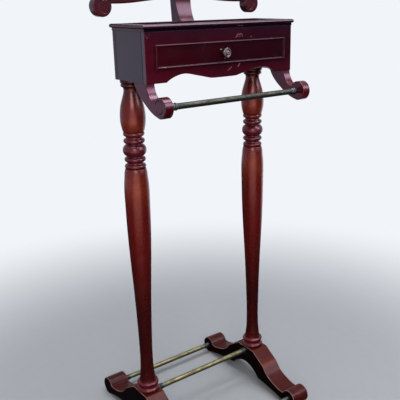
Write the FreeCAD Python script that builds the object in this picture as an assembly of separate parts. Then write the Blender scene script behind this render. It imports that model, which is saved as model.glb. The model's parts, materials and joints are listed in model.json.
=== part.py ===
"""Valet stand: two turned posts on scrolled sled feet, joined by three brass shoe rails.

The posts carry a shallow case with an open tray on top and one drawer.  Two scrolled
brackets under the case hold a brass trouser bar, and a coat hanger stands behind the case.

Millimetres.  +X is to the right, +Y to the back, +Z up.  The origin is on the floor,
midway between the posts.
"""
import FreeCAD, Part
import math
import os

V = FreeCAD.Vector

# ---- feet ----
POST_SPACING = 320.0
FOOT_THICKNESS = 48.0
FOOT_HEIGHT = 92.0
FOOT_REACH = 165.0
SCROLL_RADIUS = 21.0
SCROLL_VALLEY_ANGLE = 160.0
SCROLL_HEEL_ANGLE = -110.0
FOOT_FLAT = 29.0
FOOT_BROW_RADIUS = 5.0
KNEE_REACH = 64.0
KNEE_DROP = 22.5
ARCH_HALF_WIDTH = 50.0
ARCH_LIP_HEIGHT = 22.5
ARCH_HEIGHT = 48.0
FOOT_EDGE = 1.5
GLIDE_DIAMETER = 17.0
GLIDE_THICKNESS = 3.5
GLIDE_STAND_OFF = 1.5
GLIDE_BEVEL = 1.0
GLIDE_NAIL_DIAMETER = 3.0
GLIDE_NAIL_LENGTH = 12.0

# ---- posts ----
POST_HEIGHT = 720.0
TOP_RING_RADIUS = 22.3
TOP_RING_HEIGHT = 8.0
COLLAR_RING_RADIUS = 21.1
COLLAR_RING_HEIGHT = 7.0
COLLAR_ROOT_RADIUS = 18.9
UPPER_NECK_RADIUS = 15.7
UPPER_NECK_DROP = 22.0
NECK_FLARE = 1.4
VASE_RADIUS = 26.4
VASE_DROP = 77.0
VASE_FOOT_RADIUS = 21.6
VASE_FOOT_DROP = 106.0
RING_RADIUS = 22.3
RING_HEIGHT = 9.7
RING_ROOT_RADIUS = 17.9
COVE_RADIUS = 16.9
COVE_HEIGHT = 5.0
BALL_RADIUS = 24.7
BALL_HEIGHT = 24.0
BALL_GAP = 2.75
BALL_GAP_RADIUS = 17.1
SHOULDER_RADIUS = 21.6
BELLY_RADIUS = 26.6
BELLY_DROP = 250.0
WAIST_RADIUS = 14.5
WAIST_RISE = 86.0
FLARE_RADIUS = 19.3
BASE_RING_RADIUS = 25.0
BASE_RING_HEIGHT = 8.0
BASE_COVE_RADIUS = 21.0
BASE_COVE_HEIGHT = 7.5
BOTTOM_RING_RADIUS = 25.6
BOTTOM_RING_HEIGHT = 9.0
BASE_ROOT_RADIUS = 22.3

# ---- post fastenings ----
BOLT_DIAMETER = 8.0
BOLT_GRIP = 68.0
BOLT_RUN_OUT = 4.0
BOLT_HEAD_ACROSS = 13.0
BOLT_HEAD_HEIGHT = 5.3
WASHER_DIAMETER = 18.0
WASHER_THICKNESS = 1.6
WASHER_POCKET_DEPTH = 8.0
POCKET_CLEARANCE = 1.0
INSERT_DIAMETER = 12.0
INSERT_LENGTH = 24.0
POST_SCREW_DIAMETER = 6.0
POST_SCREW_LENGTH = 62.0
POST_SCREW_HEAD = 12.0

# ---- shoe rails and trouser bar ----
TUBE_DIAMETER = 12.0
TUBE_WALL = 1.0
MIDDLE_RAIL_DROP = 9.5
RAIL_FLANGE_DIAMETER = 15.5
RAIL_FLANGE_LENGTH = 2.0
RAIL_BEAD_DIAMETER = 14.5
RAIL_BEAD_LENGTH = 4.5
BAR_NECK_DIAMETER = 10.6
BAR_NECK_LENGTH = 7.5
BAR_BEAD_ROOT_DIAMETER = 12.0
BAR_BEAD_DIAMETER = 15.0
BAR_BEAD_LENGTH = 5.8
SPIGOT_DIAMETER = 8.0
SPIGOT_DEPTH = 10.0
TUBE_PLUG_LENGTH = 12.0

# ---- case ----
CASE_END_REACH = 24.0
CASE_FRONT = -101.0
CASE_BACK = 20.0
CASE_HEIGHT = 95.5
FRONT_THICKNESS = 10.0
BACK_THICKNESS = 10.0
SIDE_THICKNESS = 12.0
CASE_EDGE = 0.8
GROOVE_DEPTH = 4.0
CLEAT_HEIGHT = 14.0
CLEAT_REACH = 32.0
CLEAT_FRONT_DEPTH = 24.0
BOTTOM_THICKNESS = 8.0
TRAY_DEPTH = 17.0
TRAY_FLOOR_THICKNESS = 6.0
DIVIDER_THICKNESS = 6.0
DIVIDER_DROP = 1.0
DIVIDER_SPACING = 122.0
APRON_CORNER = 46.0
APRON_ARCH_SETBACK = 41.0
APRON_ARCH_RISE = 13.8
CASE_DOWEL_DIAMETER = 6.0
CASE_DOWEL_LENGTH = 26.0
CASE_DOWEL_IN_BOARD = 6.5
CASE_DOWEL_HEIGHTS = (32.0, 62.0)

# ---- rim moulding ----
RIM_HEIGHT = 12.5
RIM_OVERHANG = 4.2
RIM_WIDTH = 15.5
RIM_NOSE = 8.0
RIM_FILLET = 0.8
RIM_FILLET_HEIGHT = 1.2

# ---- drawer ----
DRAWER_SIDE_MARGIN = 21.0
DRAWER_LIP_HEIGHT = 46.0
DRAWER_LIP_THICKNESS = 4.2
DRAWER_LIP = 3.0
DRAWER_BEAD_WIDTH = 4.6
BEAD_OUTER_RADIUS = 2.1
BEAD_INNER_RADIUS = 1.9
DRAWER_FIELD_RECESS = 2.6
DRAWER_PANEL_THICKNESS = 9.0
DRAWER_RISE = 25.5
DRAWER_SIDE_THICKNESS = 8.0
DRAWER_SIDE_HEIGHT = 34.0
DRAWER_BACK_HEIGHT = 32.0
DRAWER_BOTTOM_THICKNESS = 4.0
DRAWER_BOTTOM_RISE = 5.0
DRAWER_GROOVE_DEPTH = 3.5
DRAWER_BACK_GAP = 4.0
RUNNER_WIDTH = 18.0
GUIDE_HEIGHT = 10.0
STOP_WIDTH = 50.0
STOP_THICKNESS = 8.0
STOP_DROP = 10.0
STOP_SETBACK = 5.0

# ---- knob ----
KNOB_DIAMETER = 19.5
KNOB_PROJECTION = 12.5
KNOB_STEM_DIAMETER = 8.0
KNOB_BASE_DIAMETER = 11.0
KNOB_RIM_WIDTH = 3.0
KNOB_BUTTON_DIAMETER = 10.7
ROSETTE_REACH = 14.0
ROSETTE_WAIST = 6.5
ROSETTE_SHOULDER = 9.1
ROSETTE_THICKNESS = 1.5
KNOB_SCREW_DIAMETER = 4.0
KNOB_SCREW_HEAD = 8.0
KNOB_SCREW_HEAD_HEIGHT = 2.4
KNOB_SCREW_REACH = 7.0

# ---- brackets ----
BRACKET_THICKNESS = 19.0
BRACKET_FRONT_SETBACK = 2.0
BRACKET_ROOT = 45.0
BRACKET_DROP = 39.5
BRACKET_REACH = 42.0
BRACKET_DISC_RADIUS = 20.0
BRACKET_EDGE = 1.2
BRACKET_THROAT_ANGLE = 22.0
BRACKET_CHIN_ANGLE = -75.0
CREASE_RADIUS = 2.0
BRACKET_DOWEL_DIAMETER = 8.0
BRACKET_DOWEL_LENGTH = 24.0
BRACKET_DOWEL_SETBACKS = (13.0, 30.0)
GROOVE_RING_WIDTH = 1.8
GROOVE_RING_DEPTH = 1.4
BRACKET_GROOVE_RADIUS = 12.5
BRACKET_GROOVE_SHIFT = 1.5

# ---- hanger ----
UPRIGHT_BACK_SETBACK = 40.0
UPRIGHT_THICKNESS = 20.0
UPRIGHT_FOOT_WIDTH = 34.0
UPRIGHT_TOP_WIDTH = 42.0
UPRIGHT_TAIL_HEIGHT = 12.0
UPRIGHT_TAIL_THICKNESS = 12.0
UPRIGHT_TAIL_CURVE = 56.0
UPRIGHT_SWEEP = 45.0
UPRIGHT_RISE = 65.0
YOKE_THICKNESS = 20.0
YOKE_HALF_SPAN = 190.5
YOKE_SCROLL_RISE = 32.5
YOKE_SCROLL_RADIUS = 20.5
YOKE_ARM_RISE = 41.5
YOKE_CREST_RISE = 113.0
YOKE_SHOULDER_RISE = 83.0
YOKE_NECK_HALF_WIDTH = 22.0
YOKE_EDGE = 2.0
YOKE_GROOVE_RADIUS = 12.5
YOKE_GROOVE_SHIFT = 5.0
YOKE_UNDER_ANGLE = 168.0
YOKE_OVER_ANGLE = 80.0
HANGER_DOWEL_DIAMETER = 8.0
HANGER_DOWEL_LENGTH = 40.0
HANGER_DOWEL_SPACING = 20.0
HANGER_SCREW_DIAMETER = 5.0
HANGER_SCREW_LENGTH = 36.0
HANGER_SCREW_HEAD = 10.0
HANGER_SCREW_HEIGHTS = (38.0, 64.0)

# ---- clearances ----
HOLE_CLEARANCE = 0.1
HOLE_RUN_OUT = 1.0
CUT_MARGIN = 1.0
RUNNING_CLEARANCE = 0.3
SIDE_CLEARANCE = 0.6
SEAT_GAP = 0.3
GLUE_GAP = 0.1
SAME_PLACE = 1e-5

# ---- levels and planes that follow from the sizes above ----
POST_X = POST_SPACING / 2
FOOT_INNER_X = POST_X - FOOT_THICKNESS / 2
SCROLL_Z = GLIDE_STAND_OFF + SCROLL_RADIUS
CASE_BOTTOM = FOOT_HEIGHT + POST_HEIGHT
CASE_TOP = CASE_BOTTOM + CASE_HEIGHT
CASE_HALF = POST_X + CASE_END_REACH
SIDE_INNER = CASE_HALF - SIDE_THICKNESS
FRONT_INNER = CASE_FRONT + FRONT_THICKNESS
BACK_INNER = CASE_BACK - BACK_THICKNESS
BOTTOM_Z = CASE_BOTTOM + CLEAT_HEIGHT
BOTTOM_TOP = BOTTOM_Z + BOTTOM_THICKNESS
WASHER_SEAT = ARCH_HEIGHT + WASHER_POCKET_DEPTH
TRAY_FLOOR_TOP = CASE_TOP - TRAY_DEPTH
TRAY_FLOOR_Z = TRAY_FLOOR_TOP - TRAY_FLOOR_THICKNESS
RIM_TOP = CASE_TOP + RIM_HEIGHT
LIP_Z = CASE_BOTTOM + DRAWER_RISE
LIP_HALF = CASE_HALF - DRAWER_SIDE_MARGIN
PANEL_HALF = LIP_HALF - DRAWER_LIP
PANEL_Z = LIP_Z + DRAWER_LIP
PANEL_TOP = LIP_Z + DRAWER_LIP_HEIGHT - DRAWER_LIP
LIP_BACK = CASE_FRONT - SEAT_GAP
LIP_FRONT = LIP_BACK - DRAWER_LIP_THICKNESS
FIELD_Y = LIP_FRONT + DRAWER_FIELD_RECESS
PANEL_BACK = CASE_FRONT + DRAWER_PANEL_THICKNESS
DRAWER_SIDE_OUTER = PANEL_HALF - SIDE_CLEARANCE
DRAWER_SIDE_INNER = DRAWER_SIDE_OUTER - DRAWER_SIDE_THICKNESS
DRAWER_BACK_Y = BACK_INNER - DRAWER_BACK_GAP
DRAWER_BOTTOM_Z = PANEL_Z + DRAWER_BOTTOM_RISE
KNOB_Z = LIP_Z + DRAWER_LIP_HEIGHT / 2
BRACKET_INNER = CASE_HALF - BRACKET_THICKNESS
BRACKET_FRONT = CASE_FRONT + BRACKET_FRONT_SETBACK
BAR_Y = CASE_FRONT - BRACKET_REACH
BAR_Z = CASE_BOTTOM - BRACKET_DROP
UPRIGHT_BACK = CASE_BACK + UPRIGHT_BACK_SETBACK
UPRIGHT_TOP = RIM_TOP + UPRIGHT_RISE
YOKE_SCROLL_Z = RIM_TOP + YOKE_SCROLL_RISE


# ---- drawing helpers ----

class Outline:
    """A flat outline drawn edge by edge in the "yz", "xz" or "xy" plane."""

    NORMALS = {"yz": V(1, 0, 0), "xz": V(0, 1, 0), "xy": V(0, 0, 1)}

    def __init__(self, plane, start):
        self.plane = plane
        self.start = start
        self.here = start
        self.edges = []

    def point(self, pair):
        first, second = pair
        if self.plane == "yz":
            return V(0, first, second)
        if self.plane == "xz":
            return V(first, 0, second)
        return V(first, second, 0)

    def line(self, *pairs):
        for pair in pairs:
            if pair == self.here:
                continue
            self.edges.append(Part.LineSegment(self.point(self.here), self.point(pair)).toShape())
            self.here = pair
        return self

    def arc(self, middle, end):
        ends = [self.point(pair) for pair in (self.here, middle, end)]
        self.edges.append(Part.Arc(*ends).toShape())
        self.here = end
        return self

    def bend(self, share, end):
        """An arc to end, by a point at a share of the way across and a share of the way up."""
        return self.arc(shared(self.here, end, [share])[0], end)

    def curve(self, pairs, start_way=None, end_way=None):
        spline = Part.BSplineCurve()
        points = [self.point(pair) for pair in [self.here] + list(pairs)]
        if start_way and end_way:
            spline.interpolate(
                Points=points, InitialTangent=self.point(start_way), FinalTangent=self.point(end_way)
            )
        else:
            spline.interpolate(Points=points)
        self.edges.append(spline.toShape())
        self.here = pairs[-1]
        return self

    def bead(self, end, radius):
        """A half-round swelling between this point and one straight above or below it."""
        middle = (radius, (self.here[1] + end[1]) / 2)
        return self.arc(middle, end)

    def dome(self, top):
        """A ball-shaped crown from this point up to the axis of a turned piece."""
        radius, base = self.here
        rise = top - base
        ball = (radius ** 2 + rise ** 2) / (2 * rise)
        angle = math.asin(radius / ball) / 2
        return self.arc((ball * math.sin(angle), top - ball * (1 - math.cos(angle))), (0, top))

    def closed(self):
        if self.here != self.start:
            self.line(self.start)
        return Part.Face(Part.Wire(Part.__sortEdges__(self.edges)))

    def mirrored(self):
        """The face between this outline, which runs from axis to axis, and its mirror image."""
        across = V(0, 1, 0) if self.plane == "yz" else V(1, 0, 0)
        twins = [edge.mirror(V(0, 0, 0), across) for edge in self.edges]
        return Part.Face(Part.Wire(Part.__sortEdges__(self.edges + twins)))

    def board(self, start, thickness, mirrored=False):
        """The outline cut from a board that lies from start onwards, across the plane."""
        face = self.mirrored() if mirrored else self.closed()
        normal = self.NORMALS[self.plane]
        solid = face.extrude(normal * thickness)
        solid.translate(normal * start)
        return solid

    def turned(self):
        """The outline, drawn as radius and height, turned about the vertical axis."""
        return self.closed().revolve(V(0, 0, 0), V(0, 0, 1), 360)


def shared(start, end, shares):
    """Points between start and end, then end, each at two shares of the way: across, up."""
    points = [
        (start[0] + across * (end[0] - start[0]), start[1] + up * (end[1] - start[1]))
        for across, up in shares
    ]
    return points + [end]


def clockwise_way(degrees):
    """The direction in which a clockwise arc runs at an angle of its circle."""
    return on_circle((0, 0), 1, degrees - 90)


def on_circle(centre, radius, degrees):
    angle = math.radians(degrees)
    return (centre[0] + radius * math.cos(angle), centre[1] + radius * math.sin(angle))


def box(x, y, z):
    """A block between two limits along each axis."""
    return Part.makeBox(x[1] - x[0], y[1] - y[0], z[1] - z[0], V(x[0], y[0], z[0]))


def rod(radius, length, start, way):
    return Part.makeCylinder(radius, length, V(*start), V(*way))


def mirror_x(solid):
    return solid.mirror(V(0, 0, 0), V(1, 0, 0))


def softened(solid, axes, place, radius):
    """Rounds the creases or corners that run straight through a board at one place."""
    chosen = []
    for edge in solid.Edges:
        offsets = [getattr(v.Point, axis) - value for v in edge.Vertexes for axis, value in zip(axes, place)]
        if all(abs(offset) < SAME_PLACE for offset in offsets):
            chosen.append(edge)
    return solid.makeFillet(radius, chosen)


def rounded_ends(solid, way, levels, radius, level_kept=None):
    """Rounds the edges of the two flat faces that close a board, at two levels along one axis.

    Edges that lie at the height level_kept stay sharp, because another board meets them.
    """
    chosen = []
    for edge in solid.Edges:
        places = [getattr(vertex.Point, way) for vertex in edge.Vertexes]
        heights = [vertex.Point.z for vertex in edge.Vertexes]
        on_end = any(all(abs(place - level) < SAME_PLACE for place in places) for level in levels)
        kept = level_kept is not None and all(abs(height - level_kept) < SAME_PLACE for height in heights)
        if on_end and not kept:
            chosen.append(edge)
    return solid.makeFillet(radius, chosen)


def countersunk_screw(diameter, length, head, clearance=0.0):
    """A flat-headed screw pointing down from the origin, or the hole that it needs."""
    radius = diameter / 2 + clearance
    head_radius = head / 2 + clearance
    drop = head_radius - radius
    outline = Outline("xz", (0, 0)).line(
        (head_radius, 0), (radius, -drop), (radius, -length - clearance), (0, -length - clearance)
    )
    return outline.turned()


def groove_ring(radius, width, depth):
    """A V-shaped ring to be cut into a face that lies in the XY plane, from above."""
    half = width / 2
    outline = Outline("xz", (radius - half, 0)).line((radius, -depth), (radius + half, 0))
    outline.line((radius + half, CUT_MARGIN), (radius - half, CUT_MARGIN))
    return outline.turned()


def turned_to_x(solid, sign):
    """Lays a shape that was built about +Z along +X, or along -X."""
    laid = solid.copy()
    laid.rotate(V(0, 0, 0), V(0, 1, 0), 90 * sign)
    return laid


def moved(solid, x, y, z):
    shifted = solid.copy()
    shifted.translate(V(x, y, z))
    return shifted


# ---- feet ----

def foot_creases():
    """Where the slope meets the scroll, and where the flank arch meets the middle arch."""
    valley = on_circle((FOOT_REACH, SCROLL_Z), SCROLL_RADIUS, SCROLL_VALLEY_ANGLE)
    return [valley, (ARCH_HALF_WIDTH, ARCH_LIP_HEIGHT)]


def foot_outline():
    """Half of the foot from the side: flat, slope, knee and scroll, then back under two arches."""
    valley, lip = foot_creases()
    scroll = (FOOT_REACH, SCROLL_Z)
    knee = (KNEE_REACH, FOOT_HEIGHT - KNEE_DROP)
    outline = Outline("yz", (0, FOOT_HEIGHT)).line((FOOT_FLAT, FOOT_HEIGHT), knee)
    slope = (KNEE_REACH - FOOT_FLAT, -KNEE_DROP)
    steps = shared(knee, valley, [(0.14, 0.28), (0.25, 0.52), (0.48, 0.78), (0.75, 0.95)])
    outline.curve(steps, start_way=slope, end_way=(1, 0))
    heel = on_circle(scroll, SCROLL_RADIUS, SCROLL_HEEL_ANGLE)
    outline.arc(on_circle(scroll, SCROLL_RADIUS, 15), heel)
    outline.curve(shared(heel, lip, [(0.46, 0.62)]),
                  start_way=clockwise_way(SCROLL_HEEL_ANGLE), end_way=(-1, 0.1))
    outline.curve(shared(lip, (0, ARCH_HEIGHT), [(0.40, 0.66)]), start_way=(-1, 1.2), end_way=(-1, 0))
    return outline


def foot(side):
    """One sled foot, with its rail sockets on the inner face.  side is 1 for the right foot."""
    solid = foot_outline().board(-FOOT_THICKNESS / 2, FOOT_THICKNESS, mirrored=True)
    rounded = [(crease, CREASE_RADIUS) for crease in foot_creases()]
    rounded.append(((FOOT_FLAT, FOOT_HEIGHT), FOOT_BROW_RADIUS))
    for (y, z), radius in rounded:
        solid = softened(softened(solid, "yz", (y, z), radius), "yz", (-y, z), radius)
    solid = rounded_ends(solid, "x", (-FOOT_THICKNESS / 2, FOOT_THICKNESS / 2), FOOT_EDGE)
    cuts = [
        rod(BOLT_DIAMETER / 2 + HOLE_CLEARANCE, FOOT_HEIGHT, (0, 0, 0), (0, 0, 1)),
        rod(WASHER_DIAMETER / 2 + POCKET_CLEARANCE, WASHER_SEAT, (0, 0, 0), (0, 0, 1)),
    ]
    socket = SPIGOT_DIAMETER / 2 + HOLE_CLEARANCE
    for y, z in rail_places():
        start = (-side * FOOT_THICKNESS / 2, y, z)
        cuts.append(rod(socket, SPIGOT_DEPTH + HOLE_RUN_OUT, start, (side, 0, 0)))
    for y in (-FOOT_REACH, FOOT_REACH):
        pocket = GLIDE_DIAMETER / 2 + HOLE_CLEARANCE
        cuts.append(rod(pocket, GLIDE_THICKNESS, (0, y, 0), (0, 0, 1)))
        nail = GLIDE_NAIL_DIAMETER / 2 + HOLE_CLEARANCE
        nail_depth = GLIDE_THICKNESS + GLIDE_NAIL_LENGTH + HOLE_RUN_OUT
        cuts.append(rod(nail, nail_depth, (0, y, 0), (0, 0, 1)))
    return moved(solid.cut(cuts), side * POST_X, 0, 0)


def glides():
    """The four nailed glides that the stand rests on."""
    radius = GLIDE_DIAMETER / 2
    nail = GLIDE_NAIL_DIAMETER / 2
    outline = Outline("xz", (0, 0)).line((radius - GLIDE_BEVEL, 0), (radius, GLIDE_BEVEL))
    outline.line((radius, GLIDE_THICKNESS))
    outline.line((nail, GLIDE_THICKNESS), (nail, GLIDE_THICKNESS + GLIDE_NAIL_LENGTH - nail))
    outline.line((0, GLIDE_THICKNESS + GLIDE_NAIL_LENGTH))
    glide = outline.turned()
    places = [(x, y) for x in (-POST_X, POST_X) for y in (-FOOT_REACH, FOOT_REACH)]
    return Part.makeCompound([moved(glide, x, y, 0) for x, y in places])


# ---- posts ----

RING_GROUP = {
    "ring": (RING_HEIGHT, RING_RADIUS),
    "cove": (COVE_HEIGHT, COVE_RADIUS),
    "gap": (BALL_GAP, BALL_GAP_RADIUS),
    "ball": (BALL_HEIGHT, BALL_RADIUS),
}
RING_ORDER = ("ring", "cove", "ring", "gap", "ball", "gap", "ring", "cove", "ring")
SHOULDER_Z = CASE_BOTTOM - VASE_FOOT_DROP - sum(RING_GROUP[name][0] for name in RING_ORDER)


def post_outline():
    """Radius and height of the turned post, from the axis at the bottom to the axis at the top."""
    outline = Outline("xz", (0, FOOT_HEIGHT)).line((BASE_ROOT_RADIUS, FOOT_HEIGHT))
    level = FOOT_HEIGHT
    for height, radius in (
        (BOTTOM_RING_HEIGHT, BOTTOM_RING_RADIUS),
        (BASE_COVE_HEIGHT, BASE_COVE_RADIUS),
        (BASE_RING_HEIGHT, BASE_RING_RADIUS),
    ):
        level += height
        outline.bead((BASE_ROOT_RADIUS, level), radius)
    outline.line((FLARE_RADIUS, level))
    outline.curve(shaft_points(level), start_way=(-0.3, 1), end_way=(-0.33, 1))
    level = SHOULDER_Z
    outline.line((RING_ROOT_RADIUS, level))
    for name in RING_ORDER:
        height, radius = RING_GROUP[name]
        level += height
        outline.bead((RING_ROOT_RADIUS, level), radius)
    outline.line((VASE_FOOT_RADIUS, level))
    outline.curve(vase_points(level), start_way=(0.5, 1), end_way=(0.4, 1))
    outline.line((COLLAR_ROOT_RADIUS, CASE_BOTTOM - TOP_RING_HEIGHT - COLLAR_RING_HEIGHT))
    outline.bead((COLLAR_ROOT_RADIUS, CASE_BOTTOM - TOP_RING_HEIGHT), COLLAR_RING_RADIUS)
    outline.bead((COLLAR_ROOT_RADIUS, CASE_BOTTOM), TOP_RING_RADIUS)
    return outline.line((0, CASE_BOTTOM))


def shaft_points(start):
    """The long baluster, from its flare at the height start up to its shoulder."""
    flare = (FLARE_RADIUS, start)
    waist = (WAIST_RADIUS, FOOT_HEIGHT + WAIST_RISE)
    belly = (BELLY_RADIUS, CASE_BOTTOM - BELLY_DROP)
    shoulder = (SHOULDER_RADIUS, SHOULDER_Z)
    points = shared(flare, waist, [(0.42, 0.22), (0.76, 0.46), (0.96, 0.78)])
    points += shared(waist, belly, [(0.08, 0.17), (0.37, 0.43), (0.76, 0.68), (0.93, 0.84)])
    return points + shared(belly, shoulder, [(0.18, 0.56), (0.44, 0.76)])


def vase_points(start):
    """The vase under the case, from its foot at the height start up to the flare of its neck."""
    foot_rim = (VASE_FOOT_RADIUS, start)
    widest = (VASE_RADIUS, CASE_BOTTOM - VASE_DROP)
    neck = (UPPER_NECK_RADIUS, CASE_BOTTOM - UPPER_NECK_DROP)
    collar = (UPPER_NECK_RADIUS + NECK_FLARE, CASE_BOTTOM - TOP_RING_HEIGHT - COLLAR_RING_HEIGHT)
    points = shared(foot_rim, widest, [(0.50, 0.28), (0.83, 0.55)])
    points += shared(widest, neck, [(0.09, 0.27), (0.30, 0.49), (0.63, 0.71), (0.88, 0.87)])
    return points + [collar]


def post(side):
    """One turned post, bored for its insert and bolt below and for its screw above."""
    insert_hole = rod(INSERT_DIAMETER / 2 + HOLE_CLEARANCE / 2, INSERT_LENGTH + HOLE_RUN_OUT + CUT_MARGIN,
                      (0, 0, FOOT_HEIGHT - CUT_MARGIN), (0, 0, 1))
    bolt_depth = WASHER_SEAT + BOLT_GRIP + BOLT_RUN_OUT - FOOT_HEIGHT
    bolt_hole = rod(BOLT_DIAMETER / 2 + HOLE_CLEARANCE, bolt_depth, (0, 0, FOOT_HEIGHT), (0, 0, 1))
    pilot_depth = POST_SCREW_LENGTH - CLEAT_HEIGHT - BOTTOM_THICKNESS + HOLE_RUN_OUT
    pilot = rod(POST_SCREW_DIAMETER / 2 + HOLE_CLEARANCE, pilot_depth + CUT_MARGIN,
                (0, 0, CASE_BOTTOM + CUT_MARGIN), (0, 0, -1))
    solid = post_outline().turned().cut([insert_hole, bolt_hole, pilot])
    return moved(solid, side * POST_X, 0, 0)


def pair_at_posts(solid):
    return Part.makeCompound([moved(solid, -POST_X, 0, 0), moved(solid, POST_X, 0, 0)])


def post_bolts():
    """Hexagon bolts that pull each post down on its foot."""
    seat = WASHER_SEAT - WASHER_THICKNESS
    across = BOLT_HEAD_ACROSS / math.sqrt(3)
    corners = [on_circle((0, 0), across, 60 * turn) for turn in range(6)]
    head = Outline("xy", corners[0]).line(*corners[1:]).board(seat - BOLT_HEAD_HEIGHT, BOLT_HEAD_HEIGHT)
    shank = rod(BOLT_DIAMETER / 2, BOLT_GRIP, (0, 0, seat), (0, 0, 1))
    return pair_at_posts(head.fuse(shank).removeSplitter())


def post_washers():
    seat = WASHER_SEAT - WASHER_THICKNESS
    disc = rod(WASHER_DIAMETER / 2, WASHER_THICKNESS, (0, 0, seat), (0, 0, 1))
    hole = rod(BOLT_DIAMETER / 2 + HOLE_CLEARANCE, WASHER_THICKNESS, (0, 0, seat), (0, 0, 1))
    return pair_at_posts(disc.cut(hole))


def post_inserts():
    """Threaded brass inserts in the bottom of the posts, which the bolts screw into."""
    start = (0, 0, FOOT_HEIGHT)
    sleeve = rod(INSERT_DIAMETER / 2, INSERT_LENGTH, start, (0, 0, 1))
    bore = rod(BOLT_DIAMETER / 2 + HOLE_CLEARANCE / 2, INSERT_LENGTH, start, (0, 0, 1))
    return pair_at_posts(sleeve.cut(bore))


def post_screws():
    """Long wood screws through the case bottom and its cleats into the posts."""
    screw = countersunk_screw(POST_SCREW_DIAMETER, POST_SCREW_LENGTH, POST_SCREW_HEAD)
    return pair_at_posts(moved(screw, 0, 0, BOTTOM_TOP))


# ---- shoe rails and trouser bar ----

def rail_places():
    """Where the three shoe rails cross the feet: back, middle and front."""
    return [(FOOT_REACH, SCROLL_Z), (0.0, FOOT_HEIGHT - MIDDLE_RAIL_DROP), (-FOOT_REACH, SCROLL_Z)]


def tube(half_length):
    outer = rod(TUBE_DIAMETER / 2, 2 * half_length, (-half_length, 0, 0), (1, 0, 0))
    inner = rod(TUBE_DIAMETER / 2 - TUBE_WALL, 2 * half_length, (-half_length, 0, 0), (1, 0, 0))
    return outer.cut(inner)


def end_fitting(rings):
    """A turned brass end along +Z: spigot in the wood, rings, then a plug inside the tube."""
    spigot = SPIGOT_DIAMETER / 2
    plug = TUBE_DIAMETER / 2 - TUBE_WALL - HOLE_CLEARANCE
    outline = Outline("xz", (0, -SPIGOT_DEPTH)).line((spigot, -SPIGOT_DEPTH), (spigot, 0))
    level = 0.0
    for length, root, crown in rings:
        outline.line((root, level))
        level += length
        if crown > root:
            outline.bead((root, level), crown)
        else:
            outline.line((root, level))
    outline.line((plug, level), (plug, level + TUBE_PLUG_LENGTH), (0, level + TUBE_PLUG_LENGTH))
    return outline.turned()


RAIL_BEAD = (RAIL_BEAD_LENGTH, TUBE_DIAMETER / 2 + HOLE_CLEARANCE, RAIL_BEAD_DIAMETER / 2)
RAIL_RINGS = [(RAIL_FLANGE_LENGTH, RAIL_FLANGE_DIAMETER / 2, 0.0), RAIL_BEAD, RAIL_BEAD, RAIL_BEAD]
RAIL_END_LENGTH = sum(ring[0] for ring in RAIL_RINGS)
BAR_BEAD = (BAR_BEAD_LENGTH, BAR_BEAD_ROOT_DIAMETER / 2, BAR_BEAD_DIAMETER / 2)
BAR_RINGS = [(BAR_NECK_LENGTH, BAR_NECK_DIAMETER / 2, 0.0), BAR_BEAD, BAR_BEAD]
BAR_END_LENGTH = sum(ring[0] for ring in BAR_RINGS)


def fitting_pair(rings, inner_x, y, z):
    """The fittings at both ends of a rail, seated on wooden faces at plus and minus inner_x."""
    fitting = end_fitting(rings)
    right = moved(turned_to_x(fitting, -1), inner_x, y, z)
    left = moved(turned_to_x(fitting, 1), -inner_x, y, z)
    return Part.makeCompound([left, right])


# ---- case ----

def case_side(side):
    """One end of the case, grooved for the bottom and the tray floor."""
    y = (FRONT_INNER, BACK_INNER)
    solid = box((SIDE_INNER, CASE_HALF), y, (CASE_BOTTOM, CASE_TOP))
    groove_x = (SIDE_INNER, SIDE_INNER + GROOVE_DEPTH)
    cuts = [
        box(groove_x, y, (BOTTOM_Z - GLUE_GAP, BOTTOM_TOP + GLUE_GAP)),
        box(groove_x, y, (TRAY_FLOOR_Z - GLUE_GAP, TRAY_FLOOR_TOP + GLUE_GAP)),
    ]
    cuts += [dowel_hole(*place) for place in case_dowel_places()]
    cuts += [bracket_dowel(y, HOLE_CLEARANCE) for y in bracket_dowel_places()]
    solid = solid.cut(cuts)
    return solid if side > 0 else mirror_x(solid)


def case_dowel_places():
    """Height of each dowel and the y where it starts, on the right-hand side panel."""
    starts = (FRONT_INNER - CASE_DOWEL_IN_BOARD, BACK_INNER + CASE_DOWEL_IN_BOARD - CASE_DOWEL_LENGTH)
    return [(CASE_BOTTOM + height, start) for height in CASE_DOWEL_HEIGHTS for start in starts]


def dowel_hole(z, start):
    x = CASE_HALF - SIDE_THICKNESS / 2
    length = CASE_DOWEL_LENGTH + 2 * HOLE_CLEARANCE
    radius = CASE_DOWEL_DIAMETER / 2 + HOLE_CLEARANCE / 2
    return rod(radius, length, (x, start - HOLE_CLEARANCE, z), (0, 1, 0))


def case_dowels():
    x = CASE_HALF - SIDE_THICKNESS / 2
    right = [
        rod(CASE_DOWEL_DIAMETER / 2, CASE_DOWEL_LENGTH, (x, start, z), (0, 1, 0))
        for z, start in case_dowel_places()
    ]
    return Part.makeCompound(right + [mirror_x(dowel) for dowel in right])


def both_sides(cutters):
    return cutters + [mirror_x(cutter) for cutter in cutters]


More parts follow.
